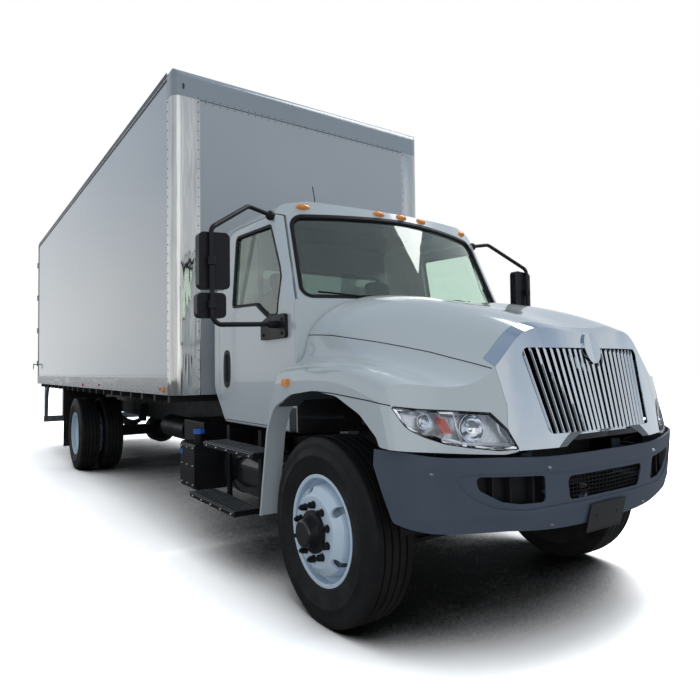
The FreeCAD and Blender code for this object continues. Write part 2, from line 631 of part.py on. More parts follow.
def add_rear_axle():
    radius = TYRE_OD / 2.0
    reach = REAR_TRACK_HALF + REAR_HUB_LENGTH - REAR_HUB_END - 2.0 * SPINDLE_END_GAP
    drum_mouth = REAR_TRACK_HALF - REAR_HUB_BACK + DRUM_HUB_DEPTH - DRUM_LENGTH
    tube_reach = drum_mouth - RUNNING_GAP
    housing = round_block(-WHEELBASE - 68.0, -WHEELBASE + 68.0, -tube_reach, tube_reach,
                          radius - 72.0, radius + 72.0, 0.0)
    banjo = Part.makeCylinder(205.0, 210.0, Vector(-WHEELBASE - 110.0, 0, radius), Vector(1, 0, 0))
    cover = Part.makeCone(190.0, 120.0, 70.0, Vector(-WHEELBASE - 110.0, 0, radius), Vector(-1, 0, 0))
    nose = Part.makeCone(150.0, 70.0, AXLE_NOSE_X - 100.0, Vector(100.0 - WHEELBASE, 0, radius), Vector(1, 0, 0))
    pads = []
    spindles = []
    pad_y = RAIL_OUTER_HALF + 6.0 + SPRING_WIDTH / 2.0
    for side in (-1.0, 1.0):
        y = side * pad_y
        pads.append(block(-WHEELBASE - 90.0, -WHEELBASE + 90.0, y - 50.0, y + 50.0,
                          radius + REAR_SEAT_RISE - 15.0, radius + REAR_SEAT_RISE))
        spindles.append(cylinder(SPINDLE_RADIUS, Vector(-WHEELBASE, side * (tube_reach - 10.0), radius),
                                 Vector(-WHEELBASE, side * reach, radius)))
        spindles.append(cylinder(DRUM_RADIUS - DRUM_WALL,
                                 Vector(-WHEELBASE, side * (tube_reach - 8.0), radius),
                                 Vector(-WHEELBASE, side * tube_reach, radius)))
    keep("rear_axle_housing", fuse([housing, banjo, cover, nose] + pads + spindles))


def add_drivetrain():
    radius = TYRE_OD / 2.0
    engine = prism_y([(-470.0, 640.0), (440.0, 640.0), (440.0, 1330.0), (300.0, 1430.0),
                      (-380.0, 1470.0), (-470.0, 1400.0)], -300.0, 300.0, 30.0)
    bell = prism_y([(-600.0, 690.0), (-460.0, 660.0), (-460.0, 960.0), (-600.0, 940.0)],
                   -215.0, 215.0, 20.0)
    gearbox = round_block(GEARBOX_REAR_X, -590.0, -190.0, 190.0, 690.0, 940.0, 60.0)
    keep("engine_block", fuse([engine, bell, gearbox]))
    flange = Vector(24.0, 0, 0)
    start = Vector(GEARBOX_REAR_X, 0, 800.0)
    middle = Vector(-3700.0, 0, 760.0)
    end = Vector(AXLE_NOSE_X - WHEELBASE, 0, radius)
    shaft = fuse([cylinder(62.0, start - flange, start), cylinder(45.0, start - flange * 0.5, middle),
                  Part.makeSphere(62.0, middle), cylinder(45.0, middle, end + flange * 0.5),
                  cylinder(62.0, end, end + flange)])
    keep("driveshaft", shaft)


def add_radiator():
    lower_half = RAIL_OUTER_HALF - RAIL_FLANGE - 10.0
    step_z = RAIL_TOP_Z + 12.0
    core = block(600.0, 668.0, -lower_half, lower_half, 700.0, step_z + 10.0)
    cooler = block(592.0, 676.0, -420.0, 420.0, step_z, 1340.0)
    tank = block(592.0, 676.0, lower_half - 30.0, lower_half, 690.0, step_z)
    foot = block(600.0, 668.0, 380.0, 420.0, RAIL_TOP_Z + SEAT_GAP, step_z)
    shroud = Part.makeCylinder(SHROUD_RADIUS, 74.0, Vector(526.0, 0, RAIL_TOP_Z), Vector(1, 0, 0))
    shroud = shroud.cut(Part.makeCylinder(SHROUD_RADIUS - 14.0, 80.0, Vector(523.0, 0, RAIL_TOP_Z),
                                          Vector(1, 0, 0)))
    keep("radiator", fuse([core, cooler, shroud] + both_sides(tank) + both_sides(foot)))


def add_tanks():
    """Fuel tanks under the doors, air tanks under the body, exhaust unit and battery box."""
    centre_y = RAIL_OUTER_HALF + 12.0 + 250.0
    tank = round_block(-1700.0, -760.0, centre_y - 250.0, centre_y + 250.0, 420.0, 800.0, 150.0)
    straps = []
    for x in (-1560.0, -900.0):
        strap = round_block(x - 30.0, x + 30.0, RAIL_OUTER_HALF + SEAT_GAP, centre_y + 256.0,
                            414.0, 806.0, 156.0)
        bracket = block(x - 30.0, x + 30.0, RAIL_OUTER_HALF + SEAT_GAP, RAIL_OUTER_HALF + 60.0,
                        560.0, 900.0)
        straps += [strap, bracket]
    keep("fuel_tanks", both_sides(fuse([tank] + straps)))
    air = []
    for x, y in ((-4300.0, 620.0), (-3650.0, -620.0)):
        body = cylinder(120.0, Vector(x - 360.0, y, 760.0), Vector(x + 360.0, y, 760.0))
        side = 1.0 if y > 0 else -1.0
        lug = block(x - 30.0, x + 30.0, *sorted((side * (RAIL_OUTER_HALF + SEAT_GAP), y)), 800.0, 860.0)
        air.append(fuse([body, lug]))
    keep("air_tanks", air)
    muffler = round_block(-2450.0, -1800.0, 470.0, 900.0, 540.0, 830.0, 130.0)
    hanger = block(-2160.0, -2100.0, RAIL_OUTER_HALF + SEAT_GAP, 520.0, 740.0, 960.0)
    pipe = rod_path([Vector(-2440.0, 690.0, 680.0), Vector(-2700.0, 690.0, 560.0),
                     Vector(-3200.0, 690.0, 560.0), Vector(-3420.0, 1080.0, 520.0)], 50.0, 130.0)
    keep("exhaust", fuse([muffler, hanger, pipe]))
    batteries = round_block(-2740.0, -2240.0, -RAIL_OUTER_HALF - 470.0, -RAIL_OUTER_HALF - SEAT_GAP,
                            600.0, 930.0, 16.0)
    keep("battery_box", batteries)
    def_body = round_block(-2130.0, -1800.0, -1150.0, -760.0, 430.0, 800.0, 36.0)
    def_arm = block(-2010.0, -1930.0, -770.0, -RAIL_OUTER_HALF - SEAT_GAP, 640.0, 780.0)
    cap = cylinder(42.0, Vector(-1935.0, -1060.0, 795.0), Vector(-1935.0, -1060.0, 866.0))
    keep("fluid_tank", fuse([def_body, def_arm, cap]))


def add_steps():
    steps = []
    lower_z, upper_z = 455.0, 845.0
    lower = block(-1690.0, -860.0, 1030.0, 1225.0, lower_z - 34.0, lower_z)
    upper = block(-1550.0, -700.0, 985.0, 1170.0, upper_z - 34.0, upper_z)
    for x in (-1500.0, -960.0):
        hanger = prism_y([(x - 24.0, 421.0), (x + 24.0, 421.0), (x + 24.0, 960.0), (x - 24.0, 960.0)],
                         968.0, 992.0)
        foot = block(x - 24.0, x + 24.0, 968.0, 1060.0, 421.0, 443.0)
        ledge = block(x - 24.0, x + 24.0, 968.0, 1010.0, upper_z - 34.0, upper_z - 12.0)
        arm = block(x - 24.0, x + 24.0, RAIL_OUTER_HALF + SEAT_GAP, 980.0, 900.0, 930.0)
        steps += [hanger, foot, ledge, arm]
    unit = fuse([lower, upper] + steps)
    keep("cab_steps", both_sides(unit))


# Bumper: a curved band with three openings

def half_plan(points):
    """A smooth plan curve from the centre line outward, given as (x, y) points."""
    curve = Part.BSplineCurve()
    curve.interpolate([Vector(x, y, 0) for x, y in points])
    return curve.toShape()


def plan_prism(points, back_x, z0, z1, lean, ref_z):
    """The space behind a plan curve, mirrored about the centre line and leaned in side view."""
    edge = half_plan(points)
    first = edge.Vertexes[0].Point
    last = edge.Vertexes[-1].Point
    close = [Part.makeLine(last, Vector(back_x, last.y, 0)),
             Part.makeLine(Vector(back_x, last.y, 0), Vector(back_x, 0, 0)),
             Part.makeLine(Vector(back_x, 0, 0), first)]
    face = Part.Face(Part.Wire([edge] + close))
    face.translate(Vector(lean * (ref_z - z0), 0, z0))
    half = face.extrude(Vector(-lean * (z1 - z0), 0, z1 - z0))
    return half.fuse(mirrored(half)).removeSplitter()


def inset_plan(points, inset):
    """Shift plan points inward along the curve's normal."""
    edge = half_plan(points)
    moved = []
    for x, y in points:
        parameter = edge.Curve.parameter(Vector(x, y, 0))
        tangent = edge.tangentAt(parameter)
        normal = Vector(-tangent.y, tangent.x, 0)
        if normal.x > 0 or (abs(normal.x) < 1e-9 and normal.y > 0):
            normal = -normal
        moved.append((x + normal.x * inset, y + normal.y * inset))
    moved[0] = (points[0][0] - inset, 0.0)
    return moved


def bumper_plan():
    return [(FRONT_OVERHANG, 0.0), (994.0, 459.0), (895.0, 815.0), (775.0, 1035.0), (640.0, 1105.0),
            (460.0, 1130.0)]


def bumper_form(inset, z0, z1):
    """The space behind the bumper's face, leaned one way above its ridge and more below it."""
    plan = inset_plan(bumper_plan(), inset) if inset else bumper_plan()
    back = 380.0 if inset else 440.0
    upper = plan_prism(plan, back, BUMPER_RIDGE_Z, z1, BUMPER_LEAN, BUMPER_REF_Z)
    low_ref = BUMPER_RIDGE_Z + (BUMPER_REF_Z - BUMPER_RIDGE_Z) * BUMPER_LEAN / BUMPER_LOW_LEAN
    lower = plan_prism(plan, back, z0, BUMPER_RIDGE_Z, BUMPER_LOW_LEAN, low_ref)
    return upper.fuse(lower)


def bumper_profile():
    """Side view of the bumper's outline as (x, z)."""
    return [(480.0, 999.0), (551.0, 999.0), (688.0, 996.0), (826.0, 975.0, 300.0), (927.0, 964.0, 300.0),
            (984.0, 955.0), (1100.0, 953.0), (1100.0, 590.0), (980.0, 590.0), (966.0, 594.0),
            (900.0, 620.0, 60.0), (764.0, 637.0), (662.0, 660.0), (620.0, 672.0, 20.0)]


def bumper_recess():
    """Front view of the sunk crescent round the bumper's openings, left half, as (y, z)."""
    return [(-10.0, 714.0), (369.0, 717.0), (579.0, 711.0, 200.0), (734.0, 734.0, 200.0),
            (858.0, 792.0, 200.0), (922.0, 866.0, 30.0), (905.0, 893.0, 20.0), (840.0, 898.0, 60.0),
            (470.0, 882.0, 60.0), (350.0, 876.0), (-10.0, 876.0)]


def add_bumper():
    band = bumper_form(0.0, BUMPER_BOTTOM_Z, 1010.0).cut(bumper_form(BUMPER_WALL, BUMPER_BOTTOM_Z - 20.0, 1030.0))
    band = band.common(prism_y(bumper_profile(), -1300.0, 1300.0))
    recess = prism_x(bumper_recess(), 500.0, 1200.0)
    sunk = bumper_form(-20.0, BUMPER_BOTTOM_Z, 1010.0).cut(bumper_form(BUMPER_RECESS, BUMPER_BOTTOM_Z - 20.0, 1030.0))
    centre = prism_x([(-301.0, 733.0), (-330.0, 850.0), (330.0, 850.0), (301.0, 733.0)], 700.0, 1200.0, 28.0)
    side = prism_x([(458.0, 740.0), (472.0, 866.0), (700.0, 876.0, 60.0), (835.0, 884.0, 20.0),
                    (812.0, 822.0, 40.0), (698.0, 761.0, 60.0), (600.0, 742.0, 40.0)], 500.0, 1200.0, 22.0)
    holes = [cylinder(PLATE_HOLE_RADIUS, Vector(850.0, y, PLATE_HOLE_Z), Vector(1100.0, y, PLATE_HOLE_Z))
             for y in (-PLATE_HOLE_SPACING / 2.0, PLATE_HOLE_SPACING / 2.0)]
    hollow = sunk.common(recess)
    band = band.cut([hollow, mirrored(hollow), centre, side, mirrored(side)] + holes)
    brackets = []
    for side_sign in (-1.0, 1.0):
        y0, y1 = sorted((side_sign * 360.0, side_sign * RAIL_OUTER_HALF))
        for z in (770.0, 900.0):
            brackets.append(block(RAIL_FRONT_X + SEAT_GAP, 1000.0, y0, y1, z, z + 20.0))
        brackets.append(block(RAIL_FRONT_X + SEAT_GAP, RAIL_FRONT_X + 12.0, y0, y1, 760.0, 960.0))
    limit = bumper_form(BUMPER_WALL / 2.0 + 3.0, 600.0, 1000.0)
    brackets = [bracket.common(limit) for bracket in brackets]
    keep("front_bumper", fuse([band] + brackets))


# Hood: lofted sections cut to the nose plan, then split into hood, surround and lamps

def hood_half(inset, bottom_z):
    """Right-angle half body under the hood's skin, on the +Y side."""
    wires = []
    for station in HOOD_STATIONS:
        x, top = station[0], station[1]
        line = [(0.0, top)] + list(station[2:])
        skin = Part.BSplineCurve()
        skin.interpolate(Points=[Vector(x, y - inset if y > 0 else 0.0, z - inset) for y, z in line],
                         InitialTangent=Vector(0, 1, 0), FinalTangent=Vector(0, 0.15, -1), Scale=True)
        edge = skin.toShape()
        last = edge.Vertexes[-1].Point
        wires.append(Part.Wire([
            edge, Part.makeLine(last, Vector(x, last.y, bottom_z)),
            Part.makeLine(Vector(x, last.y, bottom_z), Vector(x, 0, bottom_z)),
            Part.makeLine(Vector(x, 0, bottom_z), Vector(x, 0, top - inset))]))
    return Part.makeLoft(wires, True, False)


def nose_plan(inset):
    points = [(1006.0, 0.0), (979.0, 433.0), (930.0, 620.0), (841.0, 852.0), (752.0, 1028.0),
              (676.0, 1137.0), (590.0, 1190.0), (450.0, 1235.0)]
    return inset_plan(points, inset) if inset else points


def hood_form(inset, rear_x):
    """The hood and fenders as one closed form, shrunk inward by the inset."""
    bottom = HOOD_BOTTOM_Z - (100.0 if inset else 0.0)
    half = hood_half(inset, bottom)
    body = half.fuse(mirrored(half)).removeSplitter()
    nose = plan_prism(nose_plan(inset), -900.0, 300.0, 2000.0, NOSE_LEAN, NOSE_REF_Z)
    rear = block(rear_x, 1300.0, -1400.0, 1400.0, 300.0, 2000.0)
    return body.common(nose).common(rear)


def hood_outline():
    """Side outline of the hood with the wheel arch and the skirt behind it, as (x, z)."""
    rear = HOOD_REAR_X
    return [(rear, 1950.0), (1150.0, 1950.0), (1150.0, SURROUND_BOTTOM_Z), (945.0, 990.0, 12.0),
            (930.0, 976.0, 20.0), (770.0, 999.0, 200.0), (604.0, 1018.0, 20.0),
            (585.0, 1060.0, 30.0), (470.0, 1160.0, 140.0), (280.0, 1240.0, 200.0), (60.0, 1262.0, 300.0),
            (-190.0, 1235.0, 220.0), (-400.0, 1150.0, 160.0), (-478.0, 1008.0, 260.0), (-580.0, 480.0),
            (-600.0, 480.0), (-494.0, 1008.0, 260.0), (-425.0, 1190.0, 160.0), (rear, 1300.0, 60.0)]


def rear_edge_prism():
    """The space ahead of the hood's rear edge, which bows forward over the cowl."""
    rear = HOOD_REAR_X
    z = 300.0
    edge = Part.Arc(Vector(rear, -960.0, z), Vector(rear + 158.0, 0, z), Vector(rear, 960.0, z)).toShape()
    left = [Vector(rear, 960.0, z), Vector(rear, SKIRT_INNER_Y, z), Vector(-700.0, SKIRT_INNER_Y, z),
            Vector(-700.0, 1400.0, z), Vector(1300.0, 1400.0, z)]
    corners = left + [Vector(point.x, -point.y, z) for point in left[::-1]]
    lines = [Part.makeLine(a, b) for a, b in zip(corners[:-1], corners[1:])]
    return Part.Face(Part.Wire([edge] + lines)).extrude(Vector(0, 0, 1800.0))


def lamp_outline(grow):
    """Front view of the left headlamp as (y, z)."""
    return [(1133.0 + grow, 1204.0 + grow, 10.0), (1024.0, 1189.0 + grow, 300.0), (901.0, 1180.0 + grow, 300.0),
            (721.0 - grow, 1165.0 + grow, 12.0), (655.0 - grow, 1092.0, 60.0),
            (614.0 - grow, 997.0 - grow, 8.0), (713.0, 994.0 - grow, 120.0), (845.0, 1013.0 - grow, 160.0),
            (946.0, 1033.0 - grow, 160.0), (1022.0, 1064.0 - grow, 120.0), (1090.0, 1103.0 - grow, 100.0)]


def surround_outline(grow):
    """Front view of the chrome surround's outer edge as (y, z)."""
    half = [(672.0, 1700.0), (666.0, 1524.0, 30.0), (654.0, 1358.0, 200.0), (633.0, 1195.0, 60.0),
            (652.0, 1090.0, 40.0), (616.0, 996.0), (608.0, 940.0)]
    left = [(y + grow, z) + tuple(rest) for y, z, *rest in half]
    return left + [(-y, z) + tuple(rest) for y, z, *rest in left[::-1]]


def grille_opening():
    return [(-434.0, 1056.0, 30.0), (-508.0, 1468.0, 40.0), (508.0, 1468.0, 40.0), (434.0, 1056.0, 30.0)]


def nose_x(y, z):
    """How far forward the nose surface lies at (y, z)."""
    plan = half_plan(nose_plan(0.0)).Curve
    first, last = plan.FirstParameter, plan.LastParameter
    for _ in range(40):
        middle = (first + last) / 2.0
        if plan.value(middle).y < abs(y):
            first = middle
        else:
            last = middle
    return plan.value(first).x - NOSE_LEAN * (z - NOSE_REF_Z)


def nose_layer(depth0, depth1):
    """The part of the nose between two depths behind its front surface."""
    front = plan_prism(nose_plan(depth0), -900.0, 600.0, 1800.0, NOSE_LEAN, NOSE_REF_Z)
    back = plan_prism(nose_plan(depth1), -900.0, 500.0, 1900.0, NOSE_LEAN, NOSE_REF_Z)
    return front.cut(back)


def ellipse_prism(half_width, half_height, z, x0, x1):
    ring = Part.Ellipse(Vector(x0, 0, z), max(half_width, half_height), min(half_width, half_height))
    edge = ring.toShape()
    edge.rotate(Vector(x0, 0, z), Vector(0, 1, 0), 90)
    if half_width > half_height:
        edge.rotate(Vector(x0, 0, z), Vector(1, 0, 0), 90)
    return Part.Face(Part.Wire([edge])).extrude(Vector(x1 - x0, 0, 0))


def add_hood():
    outer = hood_form(0.0, -640.0)
    inner = hood_form(HOOD_WALL, -720.0)
    shell = outer.cut(inner)
    shell = shell.common(prism_y(hood_outline(), -1400.0, 1400.0)).common(rear_edge_prism())
    opening = prism_x(grille_opening(), 500.0, 1200.0)
    lamp = prism_x(lamp_outline(0.0), 400.0, 1200.0)
    lamp_hole = prism_x(lamp_outline(PANEL_GAP), 400.0, 1200.0)
    ahead = nose_layer(0.0, 60.0)
    surround_space = ahead.common(prism_x(surround_outline(0.0), 500.0, 1200.0))
    surround_hole = nose_layer(-20.0, 60.0 + PANEL_GAP).common(
        prism_x(surround_outline(PANEL_GAP), 500.0, 1200.0))
    nose_skin = shell.common(block(400.0, 1200.0, -1300.0, 1300.0, 900.0, 1750.0))
    boss = ellipse_prism(66.0, 82.0, 1470.0, 700.0, 1100.0)
    surround = nose_skin.common(surround_space).cut([opening, lamp_hole, mirrored(lamp_hole)])
    boss_body = nose_layer(-12.0, 10.0).common(boss)
    keep("grille_surround", surround.fuse(boss_body).removeSplitter())
    lamp_body = nose_layer(2.0, LAMP_DEPTH).common(lamp)
    side_lamp = block(-262.0, -205.0, 1150.0, 1196.0, 1282.0, 1322.0)
    side_lamp = side_lamp.cut(outer)
    front_lamps = both_sides(lamp_body) + both_sides(side_lamp)
    keep("front_lamps", front_lamps)
    hood = shell.cut([surround_hole, lamp_hole, mirrored(lamp_hole)])
    keep("hood", [hood] + both_sides(make_arch_return()))
    add_hood_frame()
    add_grille()


def make_arch_return():
    """The skirt's front edge turned in behind the wheel, as a strip of the left skirt."""
    profile = prism_y(hood_outline(), ARCH_RETURN_INNER_Y, 1300.0)
    strip = profile.cut(place(profile, -ARCH_RETURN, 0, 0.6 * ARCH_RETURN))
    strip = strip.common(block(-600.0, -350.0 - SEAT_GAP, ARCH_RETURN_INNER_Y, 1300.0, HOOD_BOTTOM_Z + 12.0, 1225.0))
    strip = strip.common(hood_half(HOOD_WALL + SEAT_GAP, HOOD_BOTTOM_Z))
    return max(strip.Solids, key=lambda solid: solid.Volume)


def add_hood_frame():
    """Inner frame of the hood: wheel-arch liners, nose beam and pivot lugs."""
    path = [(-430.0, 1120.0), (-192.0, 1244.0, 220.0), (60.0, 1271.0, 300.0), (283.0, 1249.0, 200.0),
            (476.0, 1168.0, 140.0), (592.0, 1062.0, 30.0), (606.0, 1032.0)]
    below = [(x - 0.5 * LINER_THICKNESS, z - LINER_THICKNESS) + tuple(rest) for x, z, *rest in path]
    liner = prism_y(path + below[::-1], LINER_INNER_Y, 1300.0)
    liner = liner.cut([block(-900.0, -275.0, 0.0, SKIRT_INNER_Y, 0.0, 2000.0),
                       block(-900.0, -350.0, 0.0, 1300.0, 0.0, 2000.0)])
    liner = liner.common(hood_form(HOOD_WALL + SEAT_GAP, -640.0))
    panel = prism_y([(-240.0, 1030.0), (-240.0, 1212.0), (-192.0, 1240.0, 220.0), (60.0, 1267.0, 300.0),
                     (283.0, 1245.0, 200.0), (474.0, 1165.0, 140.0), (586.0, 1060.0, 30.0), (594.0, 1034.0)],
                    LINER_INNER_Y, LINER_INNER_Y + LINER_THICKNESS)
    keep("wheel_liners", both_sides(fuse([liner, panel])))
    low = NOSE_BEAM_Z
    high = low + NOSE_BEAM_HEIGHT
    middle = nose_layer(HOOD_WALL + SEAT_GAP, 54.0).common(block(400.0, 1200.0, -606.0, 606.0, low, high))
    wing = nose_layer(LAMP_DEPTH + SEAT_GAP, LAMP_DEPTH + 30.0).common(
        block(400.0, 1200.0, 560.0, 960.0, low, high))
    lugs = []
    notches = []
    for side in (-1.0, 1.0):
        y0, y1 = sorted((side * (HOOD_PIVOT_Y - 10.0), side * (HOOD_PIVOT_Y + 10.0)))
        barrel = cylinder(HOOD_BARREL_RADIUS, Vector(HOOD_PIVOT_X, y0, HOOD_PIVOT_Z),
                          Vector(HOOD_PIVOT_X, y1, HOOD_PIVOT_Z))
        web = block(HOOD_PIVOT_X - HOOD_BARREL_RADIUS, HOOD_PIVOT_X + 34.0, y0, y1, HOOD_PIVOT_Z, high)
        lugs += [barrel, web]
        y0, y1 = sorted((side * (RAIL_OUTER_HALF - RUNNING_GAP - 1.0), side * (HOOD_PIVOT_Y - 10.0)))
        reach = HOOD_ARM_TIP + RUNNING_GAP + 1.0
        notches.append(cylinder(reach, Vector(HOOD_PIVOT_X, y0, HOOD_PIVOT_Z), Vector(HOOD_PIVOT_X, y1, HOOD_PIVOT_Z)))
        notches.append(block(HOOD_PIVOT_X - 80.0, HOOD_PIVOT_X, y0, y1, low - 30.0, HOOD_PIVOT_Z + reach))
    inside = nose_layer(HOOD_WALL + SEAT_GAP, 200.0)
    lugs = [lug.common(inside) for lug in lugs]
    joint = nose_layer(HOOD_WALL + SEAT_GAP, LAMP_DEPTH + 30.0).common(
        block(400.0, 1200.0, 560.0, 606.0, low, high))
    beam = fuse([middle, wing, mirrored(wing), joint, mirrored(joint)] + lugs)
    bores = [cylinder(HOOD_PIN_RADIUS + 0.05, Vector(HOOD_PIVOT_X, side * 400.0, HOOD_PIVOT_Z),
                      Vector(HOOD_PIVOT_X, side * 520.0, HOOD_PIVOT_Z)) for side in (-1.0, 1.0)]
    keep("hood_nose_beam", beam.cut(bores + notches))


def add_grille():
    """Leaning chrome bars between a top and a bottom carrier that follow the prow."""
    low, high = 1050.0, 1478.0
    bars = []
    for index in range(GRILLE_BARS):
        share = (index + 0.5) / GRILLE_BARS * 2.0 - 1.0
        wires = []
        for z, half_width in ((low, 424.0), (high, 502.0)):
            y = share * half_width
            front = nose_x(y, z) - 13.0
            wires.append(Part.makePolygon([
                Vector(front - 44.0, y - 5.0, z), Vector(front - 8.0, y - 7.0, z),
                Vector(front, y - 3.0, z), Vector(front, y + 3.0, z),
                Vector(front - 8.0, y + 7.0, z), Vector(front - 44.0, y + 5.0, z),
                Vector(front - 44.0, y - 5.0, z)]))
        bars.append(Part.makeLoft(wires, True, True))
    top = nose_layer(30.0, 58.0).common(block(400.0, 1200.0, -514.0, 514.0, high - 2.0, high + 18.0))
    bottom = nose_layer(24.0, 54.0).common(
        block(400.0, 1200.0, -470.0, 470.0, NOSE_BEAM_Z + NOSE_BEAM_HEIGHT + SEAT_GAP, low + 4.0))
    keep("grille", fuse([top, bottom] + bars))


# Cab

def cab_form(inset):
    """The cab's outer form shrunk inward by the inset, closed."""
    side = rounded_face([(CAB_BACK_X, 1235.0, 160.0), (-1532.0, 1039.0, 120.0), (-1484.0, CAB_BOTTOM_Z, 60.0),
                         (-150.0, CAB_BOTTOM_Z), (-150.0, 2430.0),
                         (-700.0, 2530.0, 250.0), (-1000.0, CAB_ROOF_Z, 500.0), (-1500.0, CAB_ROOF_Z, 300.0),
                         (CAB_BACK_X, 2500.0, 110.0)], plane_xz(-1300.0))
    half = CAB_WIDTH / 2.0
    if inset:
        side = side.makeOffset2D(-inset)
    body = side.extrude(Vector(0, 2600.0, 0)).common(side_profile(inset))
    cowl = arc_prism(CAB_NOSE_X - inset, CAB_NOSE_BOW, half, 900.0, 1950.0, 0.0, 0.0)
    glass = arc_prism(WINDSHIELD_X - inset * 1.1, WINDSHIELD_BOW, 928.0, 1600.0, 2700.0,
                      WINDSHIELD_LEAN, WINDSHIELD_BASE_Z)
    above = block(-2000.0, 0.0, -1300.0, 1300.0, WINDSHIELD_BASE_Z - inset, 2800.0)
    below = block(-2000.0, 0.0, -1300.0, 1300.0, 800.0, WINDSHIELD_BASE_Z - inset)
    upper = body.common(above).common(glass)
    lower = body.common(below).common(cowl)
    form = upper.fuse(lower).removeSplitter()
    recess = block(-520.0 - inset, 0.0, -420.0 - inset, 420.0 + inset, 800.0, 1560.0 + inset)
    return form.cut(recess)


def arc_prism(centre_x, bow, half, z0, z1, lean, ref_z):
    """The space behind an arc that bows forward, optionally leaned back with height."""
    shift = lean * (ref_z - z0)
    back = -2100.0
    radius = (half ** 2 + bow ** 2) / (2.0 * bow)
    reach = 1300.0
    end_x = centre_x + shift - radius + math.sqrt(radius ** 2 - reach ** 2)
    wide_left = Vector(end_x, reach, z0)
    wide_right = Vector(end_x, -reach, z0)
    arc = Part.Arc(wide_left, Vector(centre_x + shift, 0, z0), wide_right).toShape()
    lines = [Part.makeLine(wide_right, Vector(back, -reach, z0)),
             Part.makeLine(Vector(back, -reach, z0), Vector(back, reach, z0)),
             Part.makeLine(Vector(back, reach, z0), wide_left)]
    face = Part.Face(Part.Wire([arc] + lines))
    return face.extrude(Vector(-lean * (z1 - z0), 0, z1 - z0))


def door_outline(shrink):
    """Side view of the door as (x, z)."""
    g = shrink
    return [(DOOR_FRONT_X - g, 1312.0, 60.0), (DOOR_FRONT_X - g, 1792.0 - g, 20.0),
            (-500.0 - g, 1990.0 - g, 80.0), (-760.0 - g, 2428.0 - g, 90.0),
            (-1540.0 + g, 2450.0 - g, 110.0), (DOOR_REAR_X + g, 1900.0, 300.0),
            (DOOR_REAR_X + g, 1300.0, 300.0), (-1555.0 + g, DOOR_BOTTOM_Z + g, 60.0),
            (-800.0 - g, DOOR_BOTTOM_Z + g, 40.0), (-630.0 - g, 1170.0 + g * 0.5, 160.0)]


def window_outline(grow):
    """Side view of the door's window opening as (x, z)."""
    g = grow
    return [(-1362.0 - g, 1840.0 - g, 40.0), (-1406.0 - g, 2383.0 + g, 40.0), (-835.0 + g, 2361.0 + g, 40.0),
            (-615.0 + g, 1996.0, 90.0), (-640.0 + g, 1724.0 - g, 40.0), (-784.0, 1726.0 - g, 60.0),
            (-960.0, 1822.0 - g, 80.0)]


def windshield_outline(grow):
    """Front view of the windshield opening as (y, z)."""
    g = grow
    return [(-905.0 - g, 1838.0 - g, 60.0), (905.0 + g, 1838.0 - g, 60.0), (850.0 + g, 2410.0 + g, 90.0),
            (0.0, 2446.0 + g, 3000.0), (-850.0 - g, 2410.0 + g, 90.0)]


def rear_window_outline(grow):
    return [(-620.0 - grow, 1780.0 - grow), (620.0 + grow, 1780.0 - grow), (620.0 + grow, 2230.0 + grow),
            (-620.0 - grow, 2230.0 + grow)]


def side_profile(inset):
    """The cab's front view, shrunk by the inset and run through its whole length."""
    half = CAB_WIDTH / 2.0
    front = rounded_face([(-half, CAB_BOTTOM_Z, 20.0), (half, CAB_BOTTOM_Z, 20.0),
                          (half, CAB_BELT_Z, 300.0), (CAB_ROOF_HALF, 2500.0, 120.0),
                          (450.0, CAB_ROOF_Z, 700.0), (-450.0, CAB_ROOF_Z, 700.0),
                          (-CAB_ROOF_HALF, 2500.0, 120.0), (-half, CAB_BELT_Z, 300.0)], plane_yz(-1900.0))
    if inset:
        front = front.makeOffset2D(-inset)
    return front.extrude(Vector(2400.0, 0, 0))


def side_slab(depth):
    """The left flank of the cab down to a depth below its skin, with flat inner faces."""
    low = CAB_WIDTH / 2.0 - depth
    high = CAB_ROOF_HALF - depth
    return prism_x([(low, 800.0), (low, CAB_BELT_Z), (high, 2500.0), (high, 2700.0), (1300.0, 2700.0),
                    (1300.0, 800.0)], -1900.0, 0.0)


